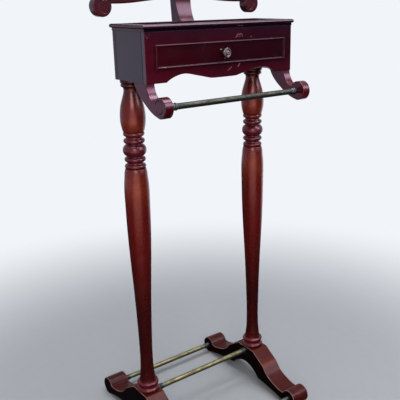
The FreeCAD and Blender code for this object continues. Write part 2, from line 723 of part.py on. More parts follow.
def case_front():
    """The front board, with the drawer opening and the shaped apron along its lower edge."""
    corner = (CASE_HALF - APRON_CORNER, CASE_BOTTOM)
    arch = (corner[0] - APRON_ARCH_SETBACK, CASE_BOTTOM + APRON_ARCH_RISE)
    outline = Outline("xz", (0, CASE_TOP)).line((CASE_HALF, CASE_TOP), (CASE_HALF, CASE_BOTTOM), corner)
    points = shared(corner, arch, [(0.50, 0.74)])
    points += shared(arch, (0, CASE_BOTTOM), [(0.28, 0.34), (0.58, 0.82)])
    outline.curve(points, start_way=(-1.2, 1), end_way=(-1, 0))
    solid = outline.board(CASE_FRONT, FRONT_THICKNESS, mirrored=True)
    solid = rounded_ends(solid, "y", (CASE_FRONT,), CASE_EDGE, level_kept=CASE_TOP)
    half = PANEL_HALF + SIDE_CLEARANCE
    opening = box((-half, half), (CASE_FRONT - CUT_MARGIN, FRONT_INNER + CUT_MARGIN),
                  (PANEL_Z - SIDE_CLEARANCE, PANEL_TOP + SIDE_CLEARANCE))
    holes = both_sides([dowel_hole(*place) for place in case_dowel_places()])
    return solid.cut([opening] + holes)


def case_back():
    x = (-CASE_HALF, CASE_HALF)
    solid = box(x, (BACK_INNER, CASE_BACK), (CASE_BOTTOM, CASE_TOP))
    solid = rounded_ends(solid, "y", (CASE_BACK,), CASE_EDGE, level_kept=CASE_TOP)
    holes = both_sides([dowel_hole(*place) for place in case_dowel_places()])
    screws = [hanger_screw(height, HOLE_CLEARANCE) for height in HANGER_SCREW_HEIGHTS]
    return solid.cut(holes + screws)


def case_bottom():
    reach = SIDE_INNER + GROOVE_DEPTH - GLUE_GAP
    solid = box((-reach, reach), (FRONT_INNER, BACK_INNER), (BOTTOM_Z, BOTTOM_TOP))
    return solid.cut(post_screw_holes())


def post_screw_holes():
    hole = countersunk_screw(POST_SCREW_DIAMETER, POST_SCREW_LENGTH, POST_SCREW_HEAD, HOLE_CLEARANCE)
    return [moved(hole, x, 0, BOTTOM_TOP) for x in (-POST_X, POST_X)]


def post_cleat(side):
    """The block between the case bottom and the top of a post."""
    x = (POST_X - CLEAT_REACH, SIDE_INNER)
    solid = box(x, (-CLEAT_FRONT_DEPTH, BACK_INNER), (CASE_BOTTOM, BOTTOM_Z))
    solid = solid.cut(post_screw_holes())
    return solid if side > 0 else mirror_x(solid)


def tray_floor():
    reach = SIDE_INNER + GROOVE_DEPTH - GLUE_GAP
    return box((-reach, reach), (FRONT_INNER, BACK_INNER), (TRAY_FLOOR_Z, TRAY_FLOOR_TOP))


def tray_divider(side):
    middle = side * DIVIDER_SPACING / 2
    x = (middle - DIVIDER_THICKNESS / 2, middle + DIVIDER_THICKNESS / 2)
    return box(x, (FRONT_INNER, BACK_INNER), (TRAY_FLOOR_TOP, CASE_TOP - DIVIDER_DROP))


def rim_section():
    """Outward distance from the case face, and height, of the rim: a bullnose over a small cove."""
    nose_low = RIM_TOP - RIM_NOSE
    nose_back = RIM_OVERHANG - RIM_NOSE / 2
    outline = Outline("yz", (RIM_OVERHANG - RIM_WIDTH, CASE_TOP))
    outline.line((RIM_FILLET, CASE_TOP), (RIM_FILLET, CASE_TOP + RIM_FILLET_HEIGHT))
    outline.bend((0.75, 0.45), (nose_back, nose_low))
    outline.arc((RIM_OVERHANG, nose_low + RIM_NOSE / 2), (nose_back, RIM_TOP))
    outline.line((RIM_OVERHANG - RIM_WIDTH, RIM_TOP))
    return outline


def rim_piece(half_length, depth):
    """A mitred length of rim on the far side of a rectangle that is centred on the Z axis."""
    section = rim_section().closed()
    outer = half_length + RIM_OVERHANG
    bar = section.extrude(V(2 * outer, 0, 0))
    bar.translate(V(-outer, depth, 0))
    front = depth + RIM_OVERHANG
    inner = front - RIM_WIDTH
    mitre = Outline("xy", (-outer, front)).line(
        (outer, front), (outer - RIM_WIDTH, inner), (RIM_WIDTH - outer, inner)
    )
    return bar.common(mitre.board(CASE_TOP - CUT_MARGIN, RIM_HEIGHT + 2 * CUT_MARGIN))


def rim(place):
    """One of the four rim pieces: back, front, left or right."""
    middle = (CASE_FRONT + CASE_BACK) / 2
    half_depth = (CASE_BACK - CASE_FRONT) / 2
    if place in ("back", "front"):
        piece = rim_piece(CASE_HALF, half_depth)
        turn = 0 if place == "back" else 180
    else:
        piece = rim_piece(half_depth, CASE_HALF)
        turn = 90 if place == "left" else -90
    piece.rotate(V(0, 0, 0), V(0, 0, 1), turn)
    return moved(piece, 0, middle, 0)


# ---- drawer ----

def drawer_front():
    """The lipped front, with a bead around its edge and a sunk field inside the bead."""
    lip_top = LIP_Z + DRAWER_LIP_HEIGHT
    lip = box((-LIP_HALF, LIP_HALF), (LIP_FRONT, LIP_BACK), (LIP_Z, lip_top))
    lip = rounded_ends(lip, "y", (LIP_FRONT,), BEAD_OUTER_RADIUS)
    inset = LIP_HALF - DRAWER_BEAD_WIDTH
    field = box((-inset, inset), (LIP_FRONT - CUT_MARGIN, FIELD_Y),
                (LIP_Z + DRAWER_BEAD_WIDTH, lip_top - DRAWER_BEAD_WIDTH))
    lip = lip.cut(field)
    inner = [edge for edge in lip.Edges if on_field_rim(edge, inset)]
    lip = lip.makeFillet(BEAD_INNER_RADIUS, inner)
    panel = box((-PANEL_HALF, PANEL_HALF), (LIP_BACK, PANEL_BACK), (PANEL_Z, PANEL_TOP))
    groove_z = (DRAWER_BOTTOM_Z - GLUE_GAP, DRAWER_BOTTOM_Z + DRAWER_BOTTOM_THICKNESS + GLUE_GAP)
    reach = DRAWER_SIDE_INNER + DRAWER_GROOVE_DEPTH
    groove = box((-reach, reach), (PANEL_BACK - DRAWER_GROOVE_DEPTH, PANEL_BACK), groove_z)
    start = (0, LIP_FRONT - CUT_MARGIN, KNOB_Z)
    depth = PANEL_BACK - LIP_FRONT + 2 * CUT_MARGIN
    hole = rod(KNOB_SCREW_DIAMETER / 2 + HOLE_CLEARANCE, depth, start, (0, 1, 0))
    return lip.fuse(panel).removeSplitter().cut([groove, hole])


def on_field_rim(edge, inset):
    """Whether an edge lies where the sunk field meets the front of the bead."""
    points = [vertex.Point for vertex in edge.Vertexes]
    level = all(abs(point.y - LIP_FRONT) < SAME_PLACE for point in points)
    inside = all(abs(point.x) < inset + SAME_PLACE for point in points)
    return level and inside and edge.Length > DRAWER_LIP


def drawer_side(side):
    x = (DRAWER_SIDE_INNER, DRAWER_SIDE_OUTER)
    y = (PANEL_BACK, DRAWER_BACK_Y)
    solid = box(x, y, (PANEL_Z, PANEL_Z + DRAWER_SIDE_HEIGHT))
    groove = box((DRAWER_SIDE_INNER, DRAWER_SIDE_INNER + DRAWER_GROOVE_DEPTH), y,
                 (DRAWER_BOTTOM_Z - GLUE_GAP, DRAWER_BOTTOM_Z + DRAWER_BOTTOM_THICKNESS + GLUE_GAP))
    solid = solid.cut(groove)
    return solid if side > 0 else mirror_x(solid)


def drawer_back():
    """The drawer's back board, which stands on the drawer bottom between the sides."""
    z = DRAWER_BOTTOM_Z + DRAWER_BOTTOM_THICKNESS
    half = DRAWER_SIDE_INNER
    y = (DRAWER_BACK_Y - DRAWER_SIDE_THICKNESS, DRAWER_BACK_Y)
    return box((-half, half), y, (z, z + DRAWER_BACK_HEIGHT))


def drawer_bottom():
    half = DRAWER_SIDE_INNER + DRAWER_GROOVE_DEPTH - GLUE_GAP
    y = (PANEL_BACK - DRAWER_GROOVE_DEPTH + GLUE_GAP, DRAWER_BACK_Y)
    return box((-half, half), y, (DRAWER_BOTTOM_Z, DRAWER_BOTTOM_Z + DRAWER_BOTTOM_THICKNESS))


def drawer_runner(side):
    """The strip that the drawer slides on, with a guide that keeps it straight."""
    inner = DRAWER_SIDE_OUTER - RUNNER_WIDTH
    y = (FRONT_INNER, BACK_INNER)
    z = (BOTTOM_TOP, PANEL_Z - RUNNING_CLEARANCE)
    strip = box((inner, SIDE_INNER), y, z)
    guide = box((DRAWER_SIDE_OUTER + RUNNING_CLEARANCE, SIDE_INNER), y, (BOTTOM_TOP, z[1] + GUIDE_HEIGHT))
    hole = rod(POST_SCREW_HEAD / 2 + POCKET_CLEARANCE, CASE_HEIGHT, (POST_X, 0, BOTTOM_TOP), (0, 0, 1))
    solid = strip.fuse(guide).removeSplitter().cut(hole)
    return solid if side > 0 else mirror_x(solid)


def drawer_stop():
    """The block under the tray floor that the drawer's back meets when it is pulled out."""
    y = (FRONT_INNER + STOP_SETBACK, FRONT_INNER + STOP_SETBACK + STOP_THICKNESS)
    return box((-STOP_WIDTH / 2, STOP_WIDTH / 2), y, (TRAY_FLOOR_Z - STOP_DROP, TRAY_FLOOR_Z))


def facing_front(solid, y, z):
    """Turns a shape that was built about +Z so that it points out of the front."""
    laid = solid.copy()
    laid.rotate(V(0, 0, 0), V(1, 0, 0), 90)
    return moved(laid, 0, y, z)


def knob_backplate():
    """A thin three-lobed rosette behind the knob."""
    middle = (0, 0)
    outline = Outline("xy", on_circle(middle, ROSETTE_WAIST, -30))
    for lobe in (30, 150, 270):
        tip = on_circle(middle, ROSETTE_REACH, lobe)
        waist = on_circle(middle, ROSETTE_WAIST, lobe + 60)
        outline.curve([on_circle(middle, ROSETTE_SHOULDER, lobe - 38), tip])
        outline.curve([on_circle(middle, ROSETTE_SHOULDER, lobe + 38), waist])
    plate = outline.board(0, ROSETTE_THICKNESS)
    hole = rod(KNOB_SCREW_DIAMETER / 2 + HOLE_CLEARANCE, ROSETTE_THICKNESS, (0, 0, 0), (0, 0, 1))
    return facing_front(plate.cut(hole), FIELD_Y, KNOB_Z)


def knob():
    """A turned brass knob with a raised rim and a button in the middle of its face."""
    radius = KNOB_DIAMETER / 2
    stem = KNOB_STEM_DIAMETER / 2
    base = KNOB_BASE_DIAMETER / 2
    height = KNOB_PROJECTION - ROSETTE_THICKNESS
    outline = Outline("xz", (0, 0)).line((base, 0), (base, 0.08 * height))
    outline.bend((0.80, 0.37), (stem, 0.32 * height))
    outline.bend((0.40, 0.67), (0.94 * radius, 0.63 * height))
    outline.arc((radius, 0.75 * height), (0.91 * radius, 0.86 * height))
    rim_inner = radius - KNOB_RIM_WIDTH
    outline.arc(((outline.here[0] + rim_inner) / 2, 0.91 * height), (rim_inner, 0.86 * height))
    outline.line((KNOB_BUTTON_DIAMETER / 2, 0.81 * height))
    outline.dome(height)
    solid = outline.turned()
    depth = KNOB_SCREW_REACH + HOLE_RUN_OUT
    hole = rod(KNOB_SCREW_DIAMETER / 2 + HOLE_CLEARANCE / 2, depth, (0, 0, 0), (0, 0, 1))
    return facing_front(solid.cut(hole), FIELD_Y - ROSETTE_THICKNESS, KNOB_Z)


def knob_screw():
    """The screw through the drawer front into the knob, with its head inside the drawer."""
    reach = PANEL_BACK - FIELD_Y + ROSETTE_THICKNESS + KNOB_SCREW_REACH
    shank = rod(KNOB_SCREW_DIAMETER / 2, reach, (0, PANEL_BACK, KNOB_Z), (0, -1, 0))
    head = rod(KNOB_SCREW_HEAD / 2, KNOB_SCREW_HEAD_HEIGHT, (0, PANEL_BACK, KNOB_Z), (0, 1, 0))
    return shank.fuse(head).removeSplitter()


# ---- brackets ----

def bracket_dowel_places():
    return [BRACKET_FRONT + setback for setback in BRACKET_DOWEL_SETBACKS]


def bracket_dowel(y, clearance=0.0):
    """A dowel half in the side panel and half in the bracket, on the right-hand side."""
    x = CASE_HALF - SIDE_THICKNESS / 2
    length = BRACKET_DOWEL_LENGTH + 2 * clearance
    start = (x, y, CASE_BOTTOM - length / 2)
    return rod(BRACKET_DOWEL_DIAMETER / 2 + clearance / 2, length, start, (0, 0, 1))


def bracket_dowels():
    right = [bracket_dowel(y) for y in bracket_dowel_places()]
    return Part.makeCompound(both_sides(right))


def bracket_throat():
    """Where the front of the arm runs into the scroll."""
    return on_circle((BAR_Y, BAR_Z), BRACKET_DISC_RADIUS, BRACKET_THROAT_ANGLE)


def bracket_outline():
    centre = (BAR_Y, BAR_Z)
    root = (BRACKET_FRONT + BRACKET_ROOT, CASE_BOTTOM)
    chin = on_circle(centre, BRACKET_DISC_RADIUS, BRACKET_CHIN_ANGLE)
    outline = Outline("yz", (BRACKET_FRONT, CASE_BOTTOM)).line(root)
    outline.curve(shared(root, chin, [(0.175, 0.35), (0.495, 0.69), (0.765, 0.90)]),
                  start_way=(-0.43, -1), end_way=clockwise_way(BRACKET_CHIN_ANGLE))
    outline.arc(on_circle(centre, BRACKET_DISC_RADIUS, 150), bracket_throat())
    outline.bend((0.70, 0.375), (BRACKET_FRONT, CASE_BOTTOM))
    return outline


def bracket(side):
    """A scrolled arm under the case that holds one end of the trouser bar."""
    solid = bracket_outline().board(BRACKET_INNER, BRACKET_THICKNESS)
    solid = softened(solid, "yz", bracket_throat(), CREASE_RADIUS)
    solid = rounded_ends(solid, "x", (BRACKET_INNER, CASE_HALF), BRACKET_EDGE, level_kept=CASE_BOTTOM)
    groove = turned_to_x(groove_ring(BRACKET_GROOVE_RADIUS, GROOVE_RING_WIDTH, GROOVE_RING_DEPTH), 1)
    cuts = [moved(groove, CASE_HALF, BAR_Y + BRACKET_GROOVE_SHIFT, BAR_Z + BRACKET_GROOVE_SHIFT)]
    start = (BRACKET_INNER - CUT_MARGIN, BAR_Y, BAR_Z)
    depth = SPIGOT_DEPTH + HOLE_RUN_OUT + CUT_MARGIN
    cuts.append(rod(SPIGOT_DIAMETER / 2 + HOLE_CLEARANCE, depth, start, (1, 0, 0)))
    cuts += [bracket_dowel(y, HOLE_CLEARANCE) for y in bracket_dowel_places()]
    solid = solid.cut(cuts)
    return solid if side > 0 else mirror_x(solid)


# ---- hanger ----

def hanger_screw(height, clearance=0.0):
    """A screw from inside the case through the back board into the upright."""
    screw = countersunk_screw(HANGER_SCREW_DIAMETER, HANGER_SCREW_LENGTH, HANGER_SCREW_HEAD, clearance)
    screw.rotate(V(0, 0, 0), V(1, 0, 0), 90)
    return moved(screw, 0, BACK_INNER, CASE_BOTTOM + height)


def hanger_screws():
    return Part.makeCompound([hanger_screw(height) for height in HANGER_SCREW_HEIGHTS])


def hanger_dowel(side, clearance=0.0):
    """A dowel between the upright and the yoke above it."""
    middle = UPRIGHT_BACK - UPRIGHT_THICKNESS / 2
    length = HANGER_DOWEL_LENGTH + 2 * clearance
    start = (side * HANGER_DOWEL_SPACING / 2, middle, UPRIGHT_TOP - length / 2)
    return rod(HANGER_DOWEL_DIAMETER / 2 + clearance / 2, length, start, (0, 0, 1))


def hanger_upright():
    """The upright behind the case: curved in to the case at its foot, tapered at its tail."""
    back = UPRIGHT_BACK
    front = UPRIGHT_BACK - UPRIGHT_THICKNESS
    tail = CASE_BOTTOM + UPRIGHT_TAIL_HEIGHT
    notch_y = CASE_BACK + RIM_OVERHANG + SEAT_GAP
    notch_top = RIM_TOP + SEAT_GAP
    side_view = Outline("yz", (CASE_BACK, tail)).line((CASE_BACK, CASE_TOP - SEAT_GAP))
    side_view.line((notch_y, CASE_TOP - SEAT_GAP), (notch_y, notch_top))
    side_view.bend((0.64, 0.40), (front, notch_top + UPRIGHT_SWEEP))
    side_view.line((front, UPRIGHT_TOP), (back, UPRIGHT_TOP), (back, tail + UPRIGHT_TAIL_CURVE))
    side_view.bend((0.22, 0.54), (CASE_BACK + UPRIGHT_TAIL_THICKNESS, tail))
    solid = side_view.board(-UPRIGHT_TOP_WIDTH, 2 * UPRIGHT_TOP_WIDTH)
    foot_half = UPRIGHT_FOOT_WIDTH / 2
    top_half = UPRIGHT_TOP_WIDTH / 2
    front_view = Outline("xz", (0, tail)).line((foot_half, tail), (foot_half, RIM_TOP))
    front_view.line((top_half, UPRIGHT_TOP), (0, UPRIGHT_TOP))
    depth = UPRIGHT_BACK_SETBACK + 2 * CUT_MARGIN
    solid = solid.common(front_view.board(CASE_BACK - CUT_MARGIN, depth, mirrored=True))
    cuts = [hanger_dowel(side, HOLE_CLEARANCE) for side in (-1, 1)]
    cuts += [hanger_screw(height, HOLE_CLEARANCE) for height in HANGER_SCREW_HEIGHTS]
    return solid.cut(cuts)


def yoke_outline():
    """Half of the shoulder board from the front: up round the scroll from the neck to the crest."""
    centre = (YOKE_HALF_SPAN, YOKE_SCROLL_Z)
    neck = (YOKE_NECK_HALF_WIDTH, UPRIGHT_TOP)
    arm = (0.45 * YOKE_HALF_SPAN, RIM_TOP + YOKE_ARM_RISE)
    under = on_circle(centre, YOKE_SCROLL_RADIUS, YOKE_UNDER_ANGLE)
    over = on_circle(centre, YOKE_SCROLL_RADIUS, YOKE_OVER_ANGLE)
    shoulder = (0.53 * YOKE_HALF_SPAN, RIM_TOP + YOKE_SHOULDER_RISE)
    crest = (0, RIM_TOP + YOKE_CREST_RISE)
    outline = Outline("xz", (0, UPRIGHT_TOP)).line(neck)
    outline.curve(shared(neck, arm, [(0.31, 0.62)]) + shared(arm, under, [(0.61, 0.91)]))
    outline.arc(on_circle(centre, YOKE_SCROLL_RADIUS, -56), over)
    points = shared(over, shoulder, [(0.49, 0.38)])
    points += shared(shoulder, crest, [(0.43, 0.35), (0.70, 0.70)])
    outline.curve(points, start_way=(-1, 0.18), end_way=(-1, 0))
    return outline


def hanger_yoke():
    """The shoulder board of the hanger, with a scroll at each end."""
    front = UPRIGHT_BACK - YOKE_THICKNESS
    solid = yoke_outline().board(front, YOKE_THICKNESS, mirrored=True)
    solid = rounded_ends(solid, "y", (front, UPRIGHT_BACK), YOKE_EDGE, level_kept=UPRIGHT_TOP)
    ring = groove_ring(YOKE_GROOVE_RADIUS, GROOVE_RING_WIDTH, GROOVE_RING_DEPTH)
    ring.rotate(V(0, 0, 0), V(1, 0, 0), 90)
    cuts = both_sides([moved(ring, YOKE_HALF_SPAN - YOKE_GROOVE_SHIFT, front, YOKE_SCROLL_Z)])
    cuts += [hanger_dowel(side, HOLE_CLEARANCE) for side in (-1, 1)]
    return solid.cut(cuts)


# ---- the whole stand ----

def build():
    """Every piece of the stand by its node name."""
    parts = {}
    for name, side in (("left", -1), ("right", 1)):
        parts[name + "_foot"] = foot(side)
        parts[name + "_post"] = post(side)
        parts[name + "_post_cleat"] = post_cleat(side)
        parts[name + "_case_side"] = case_side(side)
        parts[name + "_tray_divider"] = tray_divider(side)
        parts[name + "_drawer_runner"] = drawer_runner(side)
        parts[name + "_drawer_side"] = drawer_side(side)
        parts[name + "_bar_bracket"] = bracket(side)
    parts["foot_glides"] = glides()
    parts["post_bolts"] = post_bolts()
    parts["post_washers"] = post_washers()
    parts["post_inserts"] = post_inserts()
    parts["post_screws"] = post_screws()
    for name, (y, z) in zip(("back", "middle", "front"), rail_places()):
        parts[name + "_shoe_rail"] = moved(tube(FOOT_INNER_X - RAIL_END_LENGTH), 0, y, z)
        parts[name + "_rail_ends"] = fitting_pair(RAIL_RINGS, FOOT_INNER_X, y, z)
    parts["trouser_bar"] = moved(tube(BRACKET_INNER - BAR_END_LENGTH), 0, BAR_Y, BAR_Z)
    parts["trouser_bar_ends"] = fitting_pair(BAR_RINGS, BRACKET_INNER, BAR_Y, BAR_Z)
    parts["bracket_dowels"] = bracket_dowels()
    parts["case_front"] = case_front()
    parts["case_back"] = case_back()
    parts["case_bottom"] = case_bottom()
    parts["case_dowels"] = case_dowels()
    parts["tray_floor"] = tray_floor()
    for place in ("front", "back", "left", "right"):
        parts["rim_" + place] = rim(place)
    parts["drawer_front"] = drawer_front()
    parts["drawer_back"] = drawer_back()
    parts["drawer_bottom"] = drawer_bottom()
    parts["drawer_stop"] = drawer_stop()
    parts["knob"] = knob()
    parts["knob_backplate"] = knob_backplate()
    parts["knob_screw"] = knob_screw()
    parts["hanger_upright"] = hanger_upright()
    parts["hanger_yoke"] = hanger_yoke()
    parts["hanger_dowels"] = Part.makeCompound([hanger_dowel(-1), hanger_dowel(1)])
    parts["hanger_screws"] = hanger_screws()
    return parts


os.makedirs("parts", exist_ok=True)
for node, shape in build().items():
    if not shape.isValid():
        raise ValueError(node + " is not a valid shape")
    shape.exportStep("parts/" + node + ".step")
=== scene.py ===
"""Looks, lamps and camera for a valet stand in red mahogany lacquer and brass.

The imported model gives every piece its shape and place.  This script dresses each piece,
makes the knob and its rosette afresh with their fine turning, and lights the stand.
+X is to the stand's right, +Y to its back, +Z up, and the floor is at zero.  Finishes and
sub-assemblies give their sizes in millimetres, and the studio gives its own in metres.
"""

import bmesh
import bpy
import json
import logging
import math
from dataclasses import dataclass
from enum import Enum
from functools import cached_property
from mathutils import Matrix, Vector

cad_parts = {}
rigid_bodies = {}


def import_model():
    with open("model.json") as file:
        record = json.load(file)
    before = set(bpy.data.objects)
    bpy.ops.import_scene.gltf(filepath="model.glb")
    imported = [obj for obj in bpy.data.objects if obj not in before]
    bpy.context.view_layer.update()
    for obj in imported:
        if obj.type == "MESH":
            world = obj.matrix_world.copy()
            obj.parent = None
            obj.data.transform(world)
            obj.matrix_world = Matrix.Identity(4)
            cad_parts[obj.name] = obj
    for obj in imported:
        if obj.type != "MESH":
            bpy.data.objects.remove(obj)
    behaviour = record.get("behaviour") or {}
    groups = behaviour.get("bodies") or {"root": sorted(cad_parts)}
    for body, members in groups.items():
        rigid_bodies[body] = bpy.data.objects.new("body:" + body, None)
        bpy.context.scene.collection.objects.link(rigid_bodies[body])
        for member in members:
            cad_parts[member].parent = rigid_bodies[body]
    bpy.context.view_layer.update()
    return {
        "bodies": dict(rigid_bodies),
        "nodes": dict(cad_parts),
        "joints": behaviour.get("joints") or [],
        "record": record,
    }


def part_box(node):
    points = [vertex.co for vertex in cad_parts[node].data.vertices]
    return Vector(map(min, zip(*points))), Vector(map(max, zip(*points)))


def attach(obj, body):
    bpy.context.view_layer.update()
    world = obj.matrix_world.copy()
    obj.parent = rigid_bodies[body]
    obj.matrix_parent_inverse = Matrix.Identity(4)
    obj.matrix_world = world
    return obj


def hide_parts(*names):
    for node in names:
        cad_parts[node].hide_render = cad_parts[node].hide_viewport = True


LOG = logging.getLogger("valet_stand")
MM = 0.001
WELD_MM = 0.0001
Triple = tuple[float, float, float]
Colour = Triple
Span = tuple[float, float]
# Painted highlight tint: a crimson base colour on turned rings that stands in for their mauve
# highlights.
RING_HIGHLIGHT_TINT: Colour = (0.105, 0.006, 0.026)


def in_metres(span: Span) -> Span:
    """A span of millimetres in metres."""
    return span[0] * MM, span[1] * MM


# ---- shader arithmetic ----

class Field:
    """A value in a material that can be worked on with ordinary arithmetic."""

    def __init__(self, recipe: "Recipe", socket: bpy.types.NodeSocket | None) -> None:
        """Wraps the output socket of a recipe's node."""
        self.recipe = recipe
        self.socket = socket

    def _maths(self, operation: str, *operands: "Value") -> "Field":
        """The result of one Math node, with its operands in order."""
        return self.recipe.add("Math", {"operation": operation}, dict(enumerate(operands)))

    def __add__(self, other: "Value") -> "Field":
        """Sum."""
        return self._maths("ADD", self, other)

    __radd__ = __add__

    def __sub__(self, other: "Value") -> "Field":
        """Difference."""
        return self._maths("SUBTRACT", self, other)

    def __rsub__(self, other: "Value") -> "Field":
        """Difference from a plain number."""
        return self._maths("SUBTRACT", other, self)

    def __mul__(self, other: "Value") -> "Field":
        """Product."""
        return self._maths("MULTIPLY", self, other)

    __rmul__ = __mul__

    def __truediv__(self, other: "Value") -> "Field":
        """Quotient."""
        return self._maths("DIVIDE", self, other)

    def __rtruediv__(self, other: "Value") -> "Field":
        """Quotient of a plain number."""
        return self._maths("DIVIDE", other, self)

    def __pow__(self, power: "Value") -> "Field":
        """Power."""
        return self._maths("POWER", self, power)

    def __abs__(self) -> "Field":
        """Distance from zero."""
        return self._maths("ABSOLUTE", self)

    def lower(self, other: "Value") -> "Field":
        """The lower of two values at each place."""
        return self._maths("MINIMUM", self, other)

    def higher(self, other: "Value") -> "Field":
        """The higher of two values at each place."""
        return self._maths("MAXIMUM", self, other)

    def clear_of(self, low: float, high: float) -> "Field":
        """The value held between two limits."""
        return self.higher(low).lower(high)

    def lifted(self, least: float) -> "Field":
        """The value with its 0 lifted to a least value, and its 1 left alone."""
        return least + (1.0 - least) * self

    def dot(self, other: "Field") -> "Field":
        """How far two directions agree, from 1 for the same way to -1 for opposite ways."""
        settings = {"operation": "DOT_PRODUCT"}
        return self.recipe.add("VectorMath", settings, {0: self, 1: other}, output="Value")

    def rising(self, low: float, high: float) -> "Field":
        """A smooth step.

        Args:
            low: the value where the step starts to leave its start.
            high: the value where it reaches its end.  A high below low makes a falling step.

        Returns:
            0 to 1 where high is above low, else 1 to 0.
        """
        ends = (0.0, 1.0) if high > low else (1.0, 0.0)
        settings = {"interpolation_type": "SMOOTHSTEP"}
        inputs = {0: self, 1: min(low, high), 2: max(low, high), 3: ends[0], 4: ends[1]}
        return self.recipe.add("MapRange", settings, inputs)


Value = Field | float


class Axis(Enum):
    """The stand's axes, by their place in a vector."""

    ACROSS = 0
    DEEP = 1
    UP = 2


@dataclass(frozen=True)
class Mottle:
    """A mottled pattern.

    Attributes:
        scale: patches per metre.
        layers: how many finer layers lie over them.
        roughness: how strong the finer layers are.
        curl: how far the patches are twisted.
        cut: the values where it starts and ends a step from 0 to 1, if it has one.
    """

    scale: float
    layers: float = 3.0
    roughness: float = 0.55
    curl: float = 0.0
    cut: Span | None = None


class Recipe:
    """The nodes of a material or of the surroundings while they are being mixed."""

    SAMPLES = 8
    EDGE_BEND = (0.01, 0.16)
    MIX_INPUTS = (0, 6, 7)
    MIX_OUTPUT = 2

    def __init__(self, owner: bpy.types.Material | bpy.types.World) -> None:
        """Starts with an empty node tree.

        Args:
            owner: the new material or world that the nodes belong to.
        """
        owner.use_nodes = True
        self.owner = owner
        self.tree = owner.node_tree
        self.tree.nodes.clear()

    def add(self, kind: str, settings: dict | None = None, inputs: dict | None = None,
            output: int | str = 0) -> Field:
        """Adds any node.

        Args:
            kind: the node's type, without its ShaderNode prefix.
            settings: its own settings, set first.
            inputs: values or fields by input name or number.
            output: the output to carry on with.

        Returns:
            The chosen output, which is empty on a node that ends the tree.
        """
        node = self.tree.nodes.new("ShaderNode" + kind)
        for name, value in (settings or {}).items():
            setattr(node, name, value)
        for key, value in (inputs or {}).items():
            if isinstance(value, Field):
                self.tree.links.new(value.socket, node.inputs[key])
            else:
                node.inputs[key].default_value = value
        return Field(self, node.outputs[output] if node.outputs else None)

    @cached_property
    def place(self) -> Field:
        """The place on the piece, in metres in the stand's frame."""
        return self.add("TexCoord", output="Object")

    @cached_property
    def axes(self) -> tuple[Field, ...]:
        """The three coordinates of the place."""
        return tuple(self.add("SeparateXYZ", inputs={0: self.place}, output=axis.value)
                     for axis in Axis)

    def stretched(self, scale: Triple, shift: Triple = (0.0, 0.0, 0.0)) -> Field:
        """The place, scaled along each axis and moved to another piece of the pattern."""
        inputs = {"Vector": self.place, "Location": shift, "Scale": scale}
        return self.add("Mapping", inputs=inputs)

    def facing(self, axis: Axis) -> Field:
        """How squarely the surface faces along an axis, either way, from 0 to 1."""
        normal = self.add("NewGeometry", output="Normal")
        return abs(self.add("SeparateXYZ", inputs={0: normal}, output=axis.value))

    def rounded(self, radius: float) -> Field:
        """The surface's direction with its sharp edges eased, over a radius in metres."""
        return self.add("Bevel", {"samples": self.SAMPLES}, {"Radius": radius})

    def edges(self, rounded: Field) -> Field:
        """0 on open faces, rising to 1 on the sharp edges that the eased direction rounds."""
        true = self.add("NewGeometry", output="Normal")
        return (1.0 - rounded.dot(true)).rising(*self.EDGE_BEND)

    def openness(self, reach: float) -> Field:
        """1 on open faces, down to 0 deep in a groove that is within reach, in metres."""
        settings = {"samples": self.SAMPLES, "only_local": True}
        return self.add("AmbientOcclusion", settings, {"Distance": reach}, output="AO")

    def noise(self, vector: Field, mottle: Mottle) -> Field:
        """Mottled noise.

        Args:
            vector: where to read it.
            mottle: the pattern.

        Returns:
            A field from 0 to 1, mostly near a half unless the pattern is cut.
        """
        inputs = {"Vector": vector, "Scale": mottle.scale, "Detail": mottle.layers,
                  "Roughness": mottle.roughness, "Distortion": mottle.curl}
        pattern = self.add("TexNoise", inputs=inputs)
        return pattern.rising(*mottle.cut) if mottle.cut else pattern

    def mix(self, start: Field | Colour, end: Field | Colour, factor: Value) -> Field:
        """Mixes two colours.

        Args:
            start: the colour at factor 0.
            end: the colour at factor 1.
            factor: how far to go.

        Returns:
            A colour field.
        """
        colours = [c if isinstance(c, Field) else (*c, 1.0) for c in (start, end)]
        inputs = dict(zip(self.MIX_INPUTS, (factor, *colours)))
        return self.add("Mix", {"data_type": "RGBA"}, inputs, output=self.MIX_OUTPUT)

    def bump(self, height: Field, relief: Span, base: Field | None = None) -> Field:
        """Turns a height into a surface direction.

        Args:
            height: the height, where 1 stands for the depth.
            relief: the depth in millimetres, and how much of it shows.
            base: the direction that it starts from, where that isn't the mesh's own.

        Returns:
            A direction field.
        """
        inputs = {"Height": height, "Distance": relief[0] * MM, "Strength": relief[1]}
        if base:
            inputs["Normal"] = base
        return self.add("Bump", inputs=inputs)

    def finish(self, **sockets: Value | Colour) -> bpy.types.Material:
        """Closes a material with a Principled shader.

        Args:
            sockets: its inputs, with underscores for the spaces in their names.

        Returns:
            The finished material.
        """
        inputs = {}
        for name, value in sockets.items():
            words = (word if word.isupper() else word.capitalize() for word in name.split("_"))
            inputs[" ".join(words)] = (*value, 1.0) if isinstance(value, tuple) else value
        self.close(self.add("BsdfPrincipled", inputs=inputs))
        return self.owner

    def close(self, shader: Field, kind: str = "OutputMaterial") -> None:
        """Joins a shader to the node that the tree ends in."""
        self.add(kind, inputs={"Surface": shader})


# ---- finishes ----

class Grain(Enum):
    """The way that the wood's grain runs, as a stretch of the pattern for each axis."""

    ACROSS = (0.055, 1.0, 1.0)
    DEEP = (1.0, 0.055, 1.0)
    UPRIGHT = (1.0, 1.0, 0.055)


